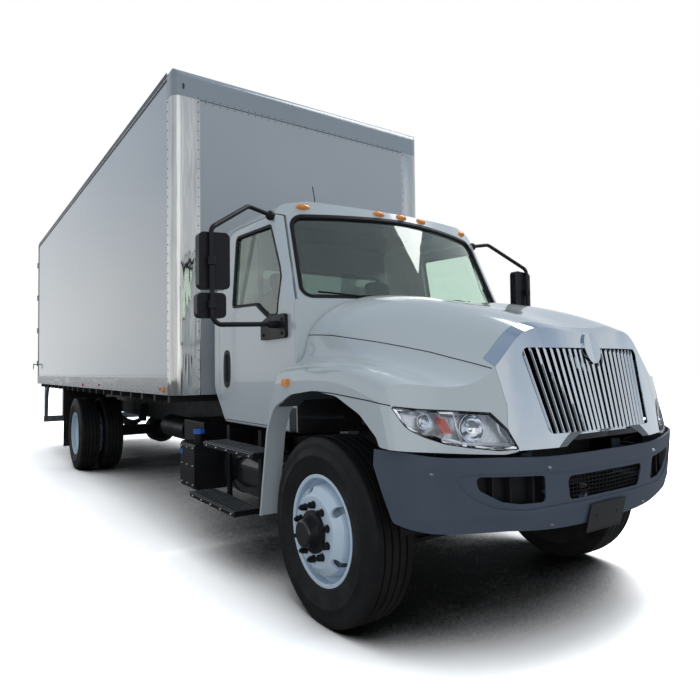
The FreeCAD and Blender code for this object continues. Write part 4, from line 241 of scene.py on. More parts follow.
# After a name and a colour: roughness, metal, colour spread, noise scale, roughness spread, relief,
# relief scale, then gloss coat. For dusted: colour, dust, roughness, dust height and amount, relief.
M = {
    "tyre": dusted("tyre_rubber_look", (0.008, 0.008, 0.009), (0.028, 0.027, 0.026), 0.55, 1.1, 0.6,
                   0.0006, 260.0),
    "wheel": surface("wheel_white_look", (0.56, 0.69, 0.82), 0.28, 0.0, 0.03, 5.0, 0.05, 0.00008, 900.0, 0.5),
    "frame": dusted("chassis_black_look", (0.006, 0.006, 0.007), (0.03, 0.029, 0.028), 0.42, 1.2, 0.3,
                    0.0003, 160.0),
    "engine": surface("engine_grey_look", (0.03, 0.03, 0.032), 0.6, 0.3, 0.2, 6.0, 0.1, 0.001, 90.0),
    "cooler": surface("cooler_look", (0.03, 0.03, 0.032), 0.5, 0.5, 0.15, 30.0, 0.1, 0.0012, 260.0,
                      stretch=(1.0, 1.0, 8.0)),
    "tank": surface("tank_black_look", (0.014, 0.015, 0.017), 0.22, 0.0, 0.10, 4.0, 0.06, 0.0002, 60.0, 0.5,
                    stretch=(1.0, 8.0, 8.0)),
    "exhaust": surface("exhaust_look", (0.16, 0.155, 0.15), 0.45, 0.9, 0.25, 8.0, 0.12, 0.0004, 60.0),
    "black": surface("plastic_black_look", (0.012, 0.012, 0.015), 0.38, 0.0, 0.12, 6.0, 0.07, 0.00025, 700.0),
    "grey": surface("plastic_grey_look", (0.062, 0.083, 0.122), 0.44, 0.0, 0.06, 5.0, 0.06, 0.00022, 800.0),
    "paint": surface("paint_white_look", *PAINT),
    "cab": surface("cab_paint_look", *PAINT),
    "chrome": surface("chrome_look", (0.62, 0.67, 0.72), 0.05, 1.0, 0.04, 3.0, 0.03, 0.0012, 7.0),
    "lens": clear_surface("lens_clear_look", (0.97, 0.98, 0.99), 0.01, 1.3),
    "reflector": surface("reflector_look", (0.62, 0.66, 0.72), 0.12, 1.0, 0.05, 30.0, 0.04, 0.0003, 90.0),
    "bezel": surface("lamp_bezel_look", (0.66, 0.72, 0.80), 0.28, 0.35, 0.05, 12.0, 0.05, 0.0002, 300.0),
    "amber": surface("lens_amber_look", (0.80, 0.27, 0.02), 0.18, 0.0, 0.12, 60.0, 0.04, 0.0004, 420.0, 0.8),
    "red": surface("lens_red_look", (0.50, 0.03, 0.012), 0.18, 0.0, 0.12, 60.0, 0.04, 0.0004, 420.0, 0.8),
    "glass": clear_surface("glass_look", (0.74, 0.88, 0.79), 0.005, 1.62),
    "mirror": surface("mirror_glass_look", (0.80, 0.83, 0.85), 0.03, 1.0, 0.01, 4.0, 0.01, 0.00002, 60.0),
    "fabric": surface("seat_fabric_look", (0.03, 0.032, 0.036), 0.85, 0.0, 0.2, 40.0, 0.05, 0.0008, 900.0),
    "liner": dusted("liner_look", (0.05, 0.06, 0.075), (0.08, 0.08, 0.08), 0.7, 1.3, 0.8, 0.0006, 130.0),
    "side": surface("body_white_look", (0.325, 0.375, 0.42), 0.13, 0.0, 0.05, 0.7, 0.05, 0.0010, 1.6,
                    0.6, 0.05),
    "wall": surface("body_wall_look", (0.33, 0.37, 0.41), 0.32, 0.0, 0.03, 0.9, 0.06, 0.0006, 2.2, 0.3),
    # The cargo box's front cap: the side panels' white made darker, as painted shade on its forward face
    "cap": surface("front_cap_painted_shade_look", (0.24, 0.285, 0.33), 0.24, 0.0, 0.04, 1.2, 0.05, 0.0006, 3.0, 0.5),
    "rail": surface("rail_metal_look", (0.46, 0.47, 0.48), 0.3, 0.8, 0.08, 3.0, 0.1, 0.0002, 60.0,
                    stretch=(1.0, 6.0, 6.0)),
    "post": surface("post_polished_look", (0.62, 0.62, 0.60), 0.08, 1.0, 0.12, 2.0, 0.05, 0.006, 2.2,
                    stretch=(5.0, 5.0, 0.8)),
    "wood": surface("wood_floor_look", (0.30, 0.19, 0.10), 0.55, 0.0, 0.25, 6.0, 0.08, 0.0006, 60.0,
                    stretch=(1.0, 14.0, 1.0)),
    "galvanised": surface("galvanised_look", (0.25, 0.27, 0.29), 0.38, 0.8, 0.14, 14.0, 0.1, 0.0003, 120.0),
    "rubber": dusted("rubber_sheet_look", (0.01, 0.01, 0.01), (0.04, 0.038, 0.035), 0.7, 1.0, 0.8,
                     0.0006, 90.0),
    "blue": surface("cap_blue_look", (0.02, 0.12, 0.5), 0.35, 0.0, 0.08, 20.0, 0.05, 0.0003, 300.0),
    "seal": surface("seal_black_look", (0.010, 0.010, 0.011), 0.5, 0.0, 0.1, 20.0, 0.08, 0.0003, 500.0),
    "dark_trim": surface("dark_rail_look", (0.045, 0.05, 0.055), 0.35, 0.6, 0.1, 8.0, 0.08, 0.0002, 90.0),
    "bolt": surface("bolt_steel_look", (0.55, 0.57, 0.60), 0.22, 1.0, 0.05, 60.0, 0.05, 0.0002, 300.0),
    "plate": surface("blank_plate_look", (0.02, 0.02, 0.022), 0.3, 0.0, 0.06, 20.0, 0.05, 0.0002, 200.0, 0.4),
}

# Dark hub flanges and the black cross sills under the load floor, and painted shade on the cab's bulkhead and
# cowl sides in the front wheel wells and inside the cab
hub_dark(M["wheel"], (0.01, 0.01, 0.011), 0.112, (FRONT_AXLE_X, FRONT_AXLE_X - WHEELBASE / 1000.0))
# Painted shade: the cab's bulkhead in the front wheel wells turns black, as the shade there and in place of
# the dark wheel-arch liner
darken_box(M["cab"], DEEP_BLACK, (3.93, 0.0, 0.90), (4.42, 1.012, 1.27))
# Painted shade: the cab's interior walls turn dark grey, as the shade inside the cab
darken_box(M["cab"], (0.035, 0.038, 0.042), (2.78, -1.0, 1.05), (3.47, 0.66, 2.54))
# Painted shade: the cowl sides in the front wheel wells turn black as well, also in place of the dark liner
darken_box(M["cab"], DEEP_BLACK, (3.93, 0.0, 0.90), (4.02, 1.03, 1.14))
darken_box(M["wood"], DEEP_BLACK, (-20.0, 0.0, 0.5), (20.0, 2.0, 1.246))
for name in ("tyre", "frame", "black", "seal", "rubber", "liner", "plate", "tank"):
    M[name].node_tree.nodes["Principled BSDF"].inputs["Specular IOR Level"].default_value = 0.22

SLOT_LOOKS = {
    "tyre_rubber": "tyre", "wheel_white": "wheel", "chassis_black": "frame", "engine_grey": "engine",
    "cooler": "cooler", "tank_metal": "tank", "exhaust_metal": "exhaust", "plastic_black": "black",
    "plastic_grey": "grey", "paint_white": "paint", "chrome": "chrome", "lamp_clear": "lens",
    "lamp_amber": "amber", "lamp_red": "red", "glass_dark": "glass", "fabric_dark": "fabric",
    "liner_grey": "liner", "body_white": "side", "body_wall": "wall", "rail_metal": "rail",
    "post_polished": "post", "wood_floor": "wood", "galvanised": "galvanised", "rubber_black": "rubber",
}

# The cab takes the white paint; the box's front cap takes its darker white, which is painted shade
NODE_LOOKS = {"cab_shell": "cab", "cab_floor": "cab", "cargo_front_cap": "cap"}


def dress_frame():
    """Give every CAD node the look of its material slot."""
    for part in frame["record"]["subparts"]:
        node = NODES[part["node"]]
        look = M[NODE_LOOKS.get(part["node"], SLOT_LOOKS[part["material_slot"]])]
        if not node.material_slots:
            node.data.materials.append(look)
        for slot in node.material_slots:
            slot.material = look


# Mesh helpers

def add_mesh(name, verts, faces, look, body, smooth):
    data = bpy.data.meshes.new(name)
    data.from_pydata([tuple(v) for v in verts], [], faces)
    data.update()
    data.validate()
    obj = bpy.data.objects.new(name, data)
    bpy.context.scene.collection.objects.link(obj)
    data.materials.append(M[look])
    if smooth:
        for polygon in data.polygons:
            polygon.use_smooth = True
    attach(obj, body)
    return obj


def lathe(profile, steps, axis="y", closed=True):
    """Rings of an (r, w) outline turned about an axis through the origin, in millimetres."""
    verts = []
    faces = []
    count = len(profile)
    for step in range(steps):
        angle = 2.0 * math.pi * step / steps
        for r, w in profile:
            a, b = r * math.cos(angle), r * math.sin(angle)
            verts.append({"y": (a, w, b), "x": (w, a, b), "z": (a, b, w)}[axis])
    span = count if closed else count - 1
    for step in range(steps):
        following = (step + 1) % steps
        for index in range(span):
            after = (index + 1) % count
            faces.append((step * count + index, step * count + after,
                          following * count + after, following * count + index))
    return verts, faces


def placed(verts, centre):
    """Millimetre points about a centre (front-axle millimetres) in the frame's metres."""
    return [at(centre[0] + x, centre[1] + y, centre[2] + z) for x, y, z in verts]


class Batch:
    """Many small pieces gathered into one mesh; sizes in metres, apart from slab's."""

    def __init__(self):
        self.verts = []
        self.faces = []

    def add(self, verts, faces):
        start = len(self.verts)
        self.verts += [tuple(v) for v in verts]
        self.faces += [tuple(start + i for i in face) for face in faces]

    def loft(self, first, last):
        """A closed solid between two outlines with the same number of points."""
        count = len(first)
        faces = [tuple(range(count))[::-1], tuple(range(count, 2 * count))]
        faces += [(i, (i + 1) % count, count + (i + 1) % count, count + i) for i in range(count)]
        self.add(list(first) + list(last), faces)

    def prism(self, centre, axis, outline, length, taper=1.0):
        """A prism on (u, v) outline points round an axis."""
        turn = Vector(axis).normalized().to_track_quat("Z", "Y").to_matrix()
        self.loft(*([Vector(centre) + turn @ Vector((u * size, v * size, level)) for u, v in outline]
                    for level, size in ((0.0, 1.0), (length, taper))))

    def disc(self, centre, axis, radius, length, sides=12, taper=1.0):
        turns = [2 * math.pi * i / sides for i in range(sides)]
        self.prism(centre, axis, [(radius * math.cos(a), radius * math.sin(a)) for a in turns], length, taper)

    def block(self, low, high):
        (x0, y0, z0), (x1, y1, z1) = low, high
        self.loft(*([(x0, y0, z), (x1, y0, z), (x1, y1, z), (x0, y1, z)] for z in (z0, z1)))

    def slab(self, x, y, z, sign=1.0):
        """A block from millimetre spans; a negative sign mirrors it to the right side."""
        y0, y1 = sorted((sign * y[0], sign * y[1]))
        self.block(at(x[0], y0, z[0]), at(x[1], y1, z[1]))

    def tube(self, points, radius, sides=8):
        """A round rod through points."""
        points = [Vector(point) for point in points]
        verts = []
        for index, point in enumerate(points):
            along = points[min(index + 1, len(points) - 1)] - points[max(index - 1, 0)]
            turn = along.to_track_quat("Z", "Y").to_matrix()
            for side in range(sides):
                angle = 2.0 * math.pi * side / sides
                verts.append(point + turn @ Vector((radius * math.cos(angle), radius * math.sin(angle), 0)))
        faces = []
        for low in range(0, (len(points) - 1) * sides, sides):
            for side in range(sides):
                after = (side + 1) % sides
                faces.append((low + side, low + after, low + sides + after, low + sides + side))
        faces.append(tuple(range(sides))[::-1])
        faces.append(tuple(range((len(points) - 1) * sides, len(points) * sides)))
        self.add(verts, faces)

    def band(self, loop, section):
        """A closed strip along a loop of (point, normal); section is (inward, outward) corners."""
        count, width = len(loop), len(section)
        verts = []
        for index, (point, normal) in enumerate(loop):
            along = (loop[(index + 1) % count][0] - loop[index - 1][0]).normalized()
            inward = normal.cross(along).normalized()
            verts += [point + inward * inner + normal * high for inner, high in section]
        faces = []
        for index in range(count):
            here, following = index * width, (index + 1) % count * width
            for corner in range(width):
                after = (corner + 1) % width
                faces.append((here + corner, here + after, following + after, following + corner))
        self.add(verts, faces)

    def build(self, name, look, body, slot, smooth=False, bevel=0.0):
        obj = add_mesh(name, self.verts, self.faces, look, body, smooth)
        fix_normals(obj)
        if bevel > 0.0:
            soften = obj.modifiers.new("bevel", "BEVEL")
            soften.width = bevel
            soften.segments = 2
            soften.limit_method = "ANGLE"
            soften.angle_limit = math.radians(35.0)
        return obj


def fix_normals(obj):
    mesh = bmesh.new()
    mesh.from_mesh(obj.data)
    bmesh.ops.recalc_face_normals(mesh, faces=mesh.faces)
    mesh.to_mesh(obj.data)
    mesh.free()


# Tyres and wheels

GROOVE_HALF = 5.5
GROOVE_DEPTH = 15.0
GROOVES = (-68.0, -23.0, 23.0, 68.0)


def tyre_profile():
    """Half outline from the bead over the tread, mirrored; (r, w) in millimetres."""
    side = [(288.0, 104.0), (291.0, 111.0), (306.0, 115.5), (312.0, 119.0), (318.0, 119.5), (340.0, 127.0),
            (368.0, 134.0), (396.0, 136.6), (398.0, 137.6), (404.0, 137.6), (406.0, 136.4), (432.0, 131.5),
            (452.0, 126.0), (455.0, 126.8), (470.0, 122.5), (484.0, 119.6), (494.0, 116.0), (500.0, 111.0),
            (502.5, 104.0)]
    tread = [(503.0, 98.0)]
    for centre in sorted((abs(g) for g in GROOVES if g > 0), reverse=True):
        outer = 505.5
        tread += [(outer, centre + GROOVE_HALF + 1.0), (outer - 2.0, centre + GROOVE_HALF),
                  (outer - GROOVE_DEPTH, centre + GROOVE_HALF - 2.0),
                  (outer - GROOVE_DEPTH, centre - GROOVE_HALF + 2.0),
                  (outer - 2.0, centre - GROOVE_HALF), (outer, centre - GROOVE_HALF - 1.0)]
    right = side + tread
    left = [(r, -w) for r, w in right[::-1]]
    return right + left


def make_tyre(name, centres, body, nodes):
    verts, faces = lathe(tyre_profile(), SPIN_STEPS)
    batch = Batch()
    for centre in centres:
        batch.add(placed(verts, centre), faces)
    tyre = batch.build(name, "tyre", body, "tyre_rubber", smooth=True)
    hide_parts(*nodes)
    mark_sharp(tyre, 40.0)


def mark_sharp(obj, degrees):
    """Smooth shading, except across edges sharper than the angle."""
    mesh = bmesh.new()
    mesh.from_mesh(obj.data)
    for edge in mesh.edges:
        if len(edge.link_faces) == 2 and edge.calc_face_angle(0.0) > math.radians(degrees):
            edge.smooth = False
    mesh.to_mesh(obj.data)
    mesh.free()


def hexagon(across):
    radius = across / math.sqrt(3.0)
    return [(radius * math.cos(math.pi / 3 * i), radius * math.sin(math.pi / 3 * i)) for i in range(6)]


def add_tyres():
    z = TYRE_RADIUS
    for side, sign in SIDES:
        make_tyre("front_" + side + "_tyre_tread", [(0.0, sign * FRONT_TRACK_HALF, z)],
                  "wheel_front_" + side, ["front_" + side + "_tyre"])
        make_tyre("rear_" + side + "_tyre_tread",
                  [(-WHEELBASE, sign * (REAR_TRACK_HALF + DISC_OFFSET), z),
                   (-WHEELBASE, sign * (REAR_TRACK_HALF - DISC_OFFSET), z)],
                  "wheels_rear_" + side, ["rear_" + side + "_tyres"])


HUB_PROFILE = ((0.0, 60.0), (40.0, 60.0), (44.0, 66.0), (60.0, 70.0), (72.0, 66.0), (80.0, 40.0), (88.0, 22.0),
               (112.0, 16.0), (114.0, 2.0), (0.0, 2.0))
HUB_BOLT_CIRCLE = 64.0
REAR_DISC_FACE = REAR_TRACK_HALF + 11.0


def wheel_nuts(x, face, sign):
    """A ring of nuts on a wheel's face, each with its washer and stud."""
    nuts = Batch()
    axis = (0, sign, 0)
    for index in range(NUTS):
        angle = 2.0 * math.pi * (index + 0.5) / NUTS
        u, z = x + NUT_CIRCLE * math.cos(angle), TYRE_RADIUS + NUT_CIRCLE * math.sin(angle)
        nuts.disc(at(u, face - sign * 1.0, z), axis, 0.021, 0.006, 20)
        nuts.prism(at(u, face + sign * 4.0, z), axis, hexagon(0.033), 0.026, 0.94)
        nuts.disc(at(u, face + sign * 28.0, z), axis, 0.0105, 0.014, 12)
    return nuts


def add_wheel_details():
    for side, sign in SIDES:
        face = sign * (FRONT_TRACK_HALF + DISC_OFFSET)
        front, rear = "wheel_front_" + side, "wheels_rear_" + side
        wheel_nuts(0.0, face, sign).build("front_" + side + "_wheel_nuts", "black", front, "plastic_black")
        hub = Batch()
        verts, faces = lathe([(r, sign * w) for r, w in HUB_PROFILE], 48)
        hub.add(placed(verts, (0.0, face, TYRE_RADIUS)), faces)
        for index in range(6):
            angle = 2.0 * math.pi * index / 6
            x, z = HUB_BOLT_CIRCLE * math.cos(angle), HUB_BOLT_CIRCLE * math.sin(angle)
            hub.disc(at(x, face + sign * 66.0, TYRE_RADIUS + z), (0, sign, 0), 0.006, 0.008, 6)
        hub.build("front_" + side + "_hub_cap", "black", front, "plastic_black")
        nuts = wheel_nuts(-WHEELBASE, sign * REAR_DISC_FACE, sign)
        nuts.build("rear_" + side + "_wheel_nuts", "black", rear, "plastic_black")


# Outlines read from the CAD frame

LOOP_GAP = 0.004


def node_mesh(node):
    mesh = bmesh.new()
    mesh.from_mesh(NODES[node].data)
    bmesh.ops.remove_doubles(mesh, verts=mesh.verts, dist=1e-5)
    mesh.normal_update()
    return mesh


def face_loops(node, test):
    """Outlines round the faces of a CAD node that pass a test, as lists of (point, normal)."""
    mesh = node_mesh(node)
    chosen = {face for face in mesh.faces if test(face)}
    follow = {}
    for face in chosen:
        for corner in face.loops:
            if sum(other in chosen for other in corner.edge.link_faces) == 1:
                follow[corner.vert] = corner.link_loop_next.vert
    loops = []
    while follow:
        start = next(iter(follow))
        vert = start
        loop = []
        while vert in follow:
            normal = Vector((0, 0, 0))
            for face in vert.link_faces:
                if face in chosen:
                    normal += face.normal
            loop.append((vert.co.copy(), normal.normalized()))
            vert = follow.pop(vert)
        if len(loop) > 5:
            loops.append(thinned(loop, LOOP_GAP))
    mesh.free()
    return loops


def thinned(loop, gap):
    kept = [loop[0]]
    for item in loop[1:]:
        if (item[0] - kept[-1][0]).length > gap:
            kept.append(item)
    return kept


def copied_faces(name, node, test, look, body, thickness):
    """A thin shell copied from the faces of a CAD node that pass a test."""
    mesh = node_mesh(node)
    bmesh.ops.delete(mesh, geom=[face for face in mesh.faces if not test(face)], context="FACES")
    data = bpy.data.meshes.new(name)
    mesh.to_mesh(data)
    mesh.free()
    obj = bpy.data.objects.new(name, data)
    bpy.context.scene.collection.objects.link(obj)
    data.materials.clear()
    data.materials.append(M[look])
    solid = obj.modifiers.new("wall", "SOLIDIFY")
    solid.thickness = thickness
    solid.offset = -1.0
    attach(obj, body)
    return obj


# Nose

NOSE_PLAN = ((1006.0, 0.0), (979.0, 433.0), (930.0, 620.0), (841.0, 852.0), (752.0, 1028.0), (676.0, 1137.0),
             (590.0, 1190.0), (450.0, 1235.0))
NOSE_LEAN = 0.223
NOSE_REF_Z = 1056.0
HEADLAMP_MIN_X = 5.0


def nose_at(y, z, depth=0.0):
    """A point under the nose's front surface at (y, z), and the surface's direction there."""
    size = abs(y)
    for (x0, y0), (x1, y1) in zip(NOSE_PLAN[:-1], NOSE_PLAN[1:]):
        if size <= y1:
            break
    share = (size - y0) / (y1 - y0)
    x = x0 + (x1 - x0) * share - NOSE_LEAN * (z - NOSE_REF_Z)
    sign = 1.0 if y >= 0 else -1.0
    facing = Vector((y1 - y0, sign * (x0 - x1), NOSE_LEAN * (y1 - y0))).normalized()
    return at(x, y, z) - facing * depth / 1000.0, facing


def on_node(node, points, spacing=0.03):
    """Points along a line, laid on the nearest surface of a CAD node."""
    mesh = node_mesh(node)
    tree = BVHTree.FromBMesh(mesh)
    mesh.free()
    laid = []
    for start, end in zip(points[:-1], points[1:]):
        steps = max(1, int((end - start).length / spacing))
        laid += [tree.find_nearest(start.lerp(end, step / steps))[0] for step in range(steps)]
    return laid + [tree.find_nearest(points[-1])[0]]


HOOD_SEAM = ((-404.0, 948.0, 1586.0), (-318.0, 938.0, 1583.0), (-176.0, 916.0, 1574.0), (39.0, 876.0, 1542.0),
             (200.0, 836.0, 1516.0), (348.0, 796.0, 1488.0), (506.0, 754.0, 1455.0), (641.0, 724.0, 1420.0),
             (761.0, 693.0, 1390.0), (838.0, 668.0, 1366.0))
LAMP_SEAM = ((650.0, 1131.0, 1206.0), (611.0, 1160.0, 1215.0), (548.0, 1168.0, 1225.0),
             (401.0, 1178.0, 1239.0), (229.0, 1182.0, 1254.0), (90.0, 1182.0, 1258.0))


def add_hood_seams():
    seams = Batch()
    for sign in (-1.0, 1.0):
        for line in (HOOD_SEAM, LAMP_SEAM):
            seams.tube(on_node("hood", [at(x, sign * y, z) for x, y, z in line]), 0.0028, 6)
    seams.build("hood_seams", "seal", "hood", "rubber_black", smooth=True)


def is_lamp_front(face):
    return face.calc_center_median().x > HEADLAMP_MIN_X and face.normal.x > 0.2


def is_marker(face):
    return face.calc_center_median().x < HEADLAMP_MIN_X


LAMP_RIM = ((-0.0012, -0.006), (-0.0012, 0.0006), (0.0035, 0.0012), (0.0035, -0.006))
LAMP_INNER_RIM = ((0.006, -0.013), (0.006, -0.007), (0.015, -0.008), (0.018, -0.013))
LAMP_BOWLS = ((812.0, 1096.0, 60.0, 42.0), (1008.0, 1136.0, 34.0, 26.0))
LAMP_PATCH = ((962.0, 1150.0), (922.0, 1146.0), (902.0, 1078.0), (944.0, 1082.0))
LAMP_LEDGES = (((700.0, 1150.0), (880.0, 1164.0), (1100.0, 1190.0)),
               ((650.0, 1020.0), (840.0, 1032.0), (1000.0, 1074.0)),
               ((884.0, 1162.0), (880.0, 1100.0), (868.0, 1040.0)),
               ((700.0, 1140.0), (690.0, 1080.0), (660.0, 1030.0)))


def bowl_profile(radius, depth):
    return [(radius + 3.0, -1.0), (radius, 1.0), (radius - 2.0, -2.0), (radius * 0.85, -depth * 0.45),
            (radius * 0.55, -depth * 0.85), (radius * 0.2, -depth), (0.5, -depth), (0.5, -depth - 1.5),
            (radius * 0.6, -depth * 0.95), (radius * 0.9, -depth * 0.5)]


def bulb_profile(radius, depth):
    return [(0.3, -depth * 0.25), (radius * 0.16, -depth * 0.3), (radius * 0.27, -depth * 0.5),
            (radius * 0.2, -depth * 0.99), (0.3, -depth * 0.99)]


def add_headlamps():
    lens = copied_faces("headlamp_lenses", "front_lamps", is_lamp_front, "lens", "hood", 0.0025)
    tray = copied_faces("headlamp_housings", "front_lamps",
                        lambda face: not is_marker(face) and not is_lamp_front(face),
                        "bezel", "hood", 0.002)
    markers = copied_faces("fender_marker_lamps", "front_lamps", is_marker, "amber", "hood", 0.001)
    for piece in (lens, tray, markers):
        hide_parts("front_lamps")
    rim, inner = Batch(), Batch()
    for loop in face_loops("front_lamps", is_lamp_front):
        rim.band(loop, LAMP_RIM)
        inner.band(loop, LAMP_INNER_RIM)
    inner.build("headlamp_rims", "reflector", "hood", "chrome")
    rim.build("headlamp_seals", "seal", "hood", "plastic_black")
    bowls, bulbs, patches, ledges = Batch(), Batch(), Batch(), Batch()
    for sign in (-1.0, 1.0):
        for y, z, radius, depth in LAMP_BOWLS:
            point, facing = nose_at(sign * y, z, 14.0)
            turn = facing.to_track_quat("Z", "Y").to_matrix()
            for batch, (verts, faces) in ((bowls, lathe(bowl_profile(radius, depth), 40, "z")),
                                          (bulbs, lathe(bulb_profile(radius, depth), 24, "z", False))):
                batch.add([point + turn @ (Vector(v) / 1000.0) for v in verts], faces)
        corners = [nose_at(sign * y, z, 13.0) for y, z in LAMP_PATCH]
        patches.loft([point for point, _ in corners], [point - facing * 0.004 for point, facing in corners])
        for line in LAMP_LEDGES:
            ledges.tube([nose_at(sign * y, z, 16.0)[0] for y, z in line], 0.007)
    bowls.build("headlamp_reflectors", "reflector", "hood", "chrome", smooth=True)
    bulbs.build("headlamp_bulbs", "mirror", "hood", "lamp_clear", smooth=True)
    patches.build("headlamp_side_reflectors", "red", "hood", "lamp_red")
    ledges.build("headlamp_bezels", "bezel", "hood", "chrome", smooth=True)


# Bumper

BUMPER_PLAN = ((1019.0, 0.0), (994.0, 459.0), (895.0, 815.0), (775.0, 1035.0), (640.0, 1105.0))


def bumper_x(y, z):
    size = abs(y)
    for (x0, y0), (x1, y1) in zip(BUMPER_PLAN[:-1], BUMPER_PLAN[1:]):
        if size <= y1:
            break
    x = x0 + (x1 - x0) * (size - y0) / (y1 - y0)
    return x + (0.10 * (z - 961.0) if z > 700.0 else 0.30 * (z - 787.0))


BUMPER_BOLTS = ((459.0, 903.0), (402.0, 625.0), (1010.0, 905.0))
DUCT_HEIGHT = 800.0
DUCT_BACK = ((470.0, 60.0), (560.0, 58.0), (650.0, 55.0), (740.0, 52.0), (822.0, 46.0))
DUCT_VANES = (520.0, 640.0, 730.0)
PLATE_HALF = 0.1525
PLATE_STRIPS = ((0.0, 0.152, 0.0), (0.0, 0.006, 0.002), (0.146, 0.152, 0.002))


def add_bumper_details():
    bolts, ducts, plate = Batch(), Batch(), Batch()
    for sign in (-1.0, 1.0):
        facing = (1.0, 0.15 * sign, 0.0)
        for y, z in BUMPER_BOLTS:
            x = bumper_x(y, z)
            bolts.disc(at(x - 3.0, sign * y, z), facing, 0.013, 0.008, 20, 0.8)
            bolts.disc(at(x + 4.0, sign * y, z), facing, 0.008, 0.007, 16, 0.6)
        back = [at(bumper_x(y, DUCT_HEIGHT) - depth, sign * y, 0.0) for y, depth in DUCT_BACK]
        for p0, p1 in zip(back[:-1], back[1:]):
            corners = [Vector((p.x, p.y, z)) for p, z in ((p0, 0.69), (p1, 0.69), (p1, 0.88), (p0, 0.88))]
            ducts.loft(corners, [corner - Vector((0.004, 0, 0)) for corner in corners])
        ducts.slab((604.0, 610.0), (662.0, 1042.0), (600.0, 950.0), sign)
        ducts.slab((620.0, 930.0), (440.0, 446.0), (640.0, 936.0), sign)
        for y in DUCT_VANES:
            x = bumper_x(y, DUCT_HEIGHT)
            ducts.slab((x - 56.0, x - 18.0), (y - 5.0, y + 5.0), (742.0, 872.0), sign)
    bolts.build("bumper_bolts", "bolt", "chassis", "chrome")
    for index in range(23):
        y = -319.0 + 29.0 * index
        x = bumper_x(y, DUCT_HEIGHT)
        ducts.tube([at(x - 16.0, y, 738.0), at(x - 10.0, y, 848.0)], 0.0022, 6)
    for index in range(6):
        z = 744.0 + 19.6 * index
        ducts.tube([at(bumper_x(y, z) - 14.0, y, z) for y in (-326.0, -160.0, 0.0, 160.0, 326.0)], 0.0022, 6)
    ducts.build("bumper_ducts", "black", "chassis", "plastic_black")
    top, low = at(1003.0, 0.0, 697.0), at(966.0, 0.0, 545.0)
    along = (top - low).normalized()
    facing = Vector((along.z, 0.0, -along.x))
    for h0, h1, proud in PLATE_STRIPS:
        corners = [low + along * h + Vector((0, y, 0)) + facing * proud for y, h in
                   ((-PLATE_HALF, h0), (PLATE_HALF, h0), (PLATE_HALF, h1), (-PLATE_HALF, h1))]
        plate.loft(corners, [corner + facing * 0.0015 for corner in corners])
    for y in (-0.089, 0.089):
        plate.disc(low + along * 0.083 + Vector((0, y, 0)) - facing * 0.006, facing, 0.007, 0.011, 12, 0.8)
    plate.build("blank_plate", "plate", "chassis", "plastic_black")


# Cab

# Seal sections: (inward, outward) corners in metres
SIDE_SEAL = ((-0.001, -0.002), (-0.001, 0.0175), (0.012, 0.0175), (0.018, 0.008), (0.018, -0.002))
SIDE_LIP = ((-0.006, 0.0158), (-0.006, 0.0180), (0.002, 0.0180), (0.002, 0.0158))
FRONT_SEAL = ((-0.001, -0.002), (-0.001, 0.0185), (0.008, 0.0185), (0.014, 0.008), (0.014, -0.002))
FRONT_LIP = ((-0.016, 0.0155), (-0.016, 0.0175), (0.002, 0.0185), (0.002, 0.0155))
REAR_SEAL = ((-0.001, -0.002), (-0.001, 0.018), (0.018, 0.018), (0.024, 0.004), (0.024, -0.002))
REAR_WINDOW_MAX_X = 3.4


def add_seals():
    for side, sign in SIDES:
        seal = Batch()
        for loop in face_loops("door_window_" + side, lambda face: face.normal.y * sign > 0.7):
            seal.band(loop, SIDE_SEAL)
            seal.band(loop, SIDE_LIP)
        seal.build("door_window_seal_" + side, "seal", "door_" + side, "rubber_black")
    seal = Batch()
    for loop in face_loops("cab_glass", lambda face: face.normal.x > 0.3):
        seal.band(loop, FRONT_SEAL)
        seal.band(loop, FRONT_LIP)
    for loop in face_loops("cab_glass", lambda face: face.normal.x < -0.8
                           and face.calc_center_median().x < REAR_WINDOW_MAX_X):
        seal.band(loop, REAR_SEAL)
    seal.build("windshield_seals", "seal", "chassis", "rubber_black")


# Root, knee, inner and outer blade end of each wiper
WIPERS = (((-300.0, -240.0, 1832.0), (-372.0, -560.0, 1842.0),
           (-300.0, -300.0, 1840.0), (-482.0, -815.0, 1866.0)),
          ((-298.0, 420.0, 1832.0), (-290.0, 120.0, 1840.0),
           (-300.0, 400.0, 1842.0), (-310.0, -180.0, 1850.0)))


def rounded_ring(half_u, half_v, steps, power=5.0, phase=0.5):
    """Points of a rounded rectangle about the origin."""
    ring = []
    for index in range(steps):
        angle = 2.0 * math.pi * (index + phase) / steps
        c, d = math.cos(angle), math.sin(angle)
        reach = 1.0 / (abs(c) ** power + abs(d) ** power) ** (1.0 / power)
        ring.append((half_u * reach * c, half_v * reach * d))
    return ring


HANDLE_AT = (-1458.0, 1016.0, 1387.0)
HANDLE_STEPS = (((1.0, -0.002), (1.0, 0.003)), ((0.96, 0.003), (0.8, 0.005)))
MIRROR_GLASSES = ((1435.0, 1884.0, 2204.0, 84.0), (1456.0, 1704.0, 1832.0, 78.0))
MIRROR_BOLTS = ((-800.0, 1606.0), (-545.0, 1606.0), (-545.0, 1694.0))


def add_handle(side, sign):
    handle = Batch()
    centre = at(HANDLE_AT[0], sign * HANDLE_AT[1], HANDLE_AT[2])
    ring = rounded_ring(0.064, 0.142, 28, 3.0, 0.0)
    for levels in HANDLE_STEPS:
        handle.loft(*([centre + Vector((u * k, sign * out, v * (1 - (1 - k) * 0.3))) for u, v in ring]
                      for k, out in levels))
    handle.tube([centre + Vector((0.004, sign * 0.006, z)) for z in (-0.10, -0.04, 0.04, 0.11)], 0.011, 10)
    handle.build("door_handle_" + side, "black", "door_" + side, "plastic_black")


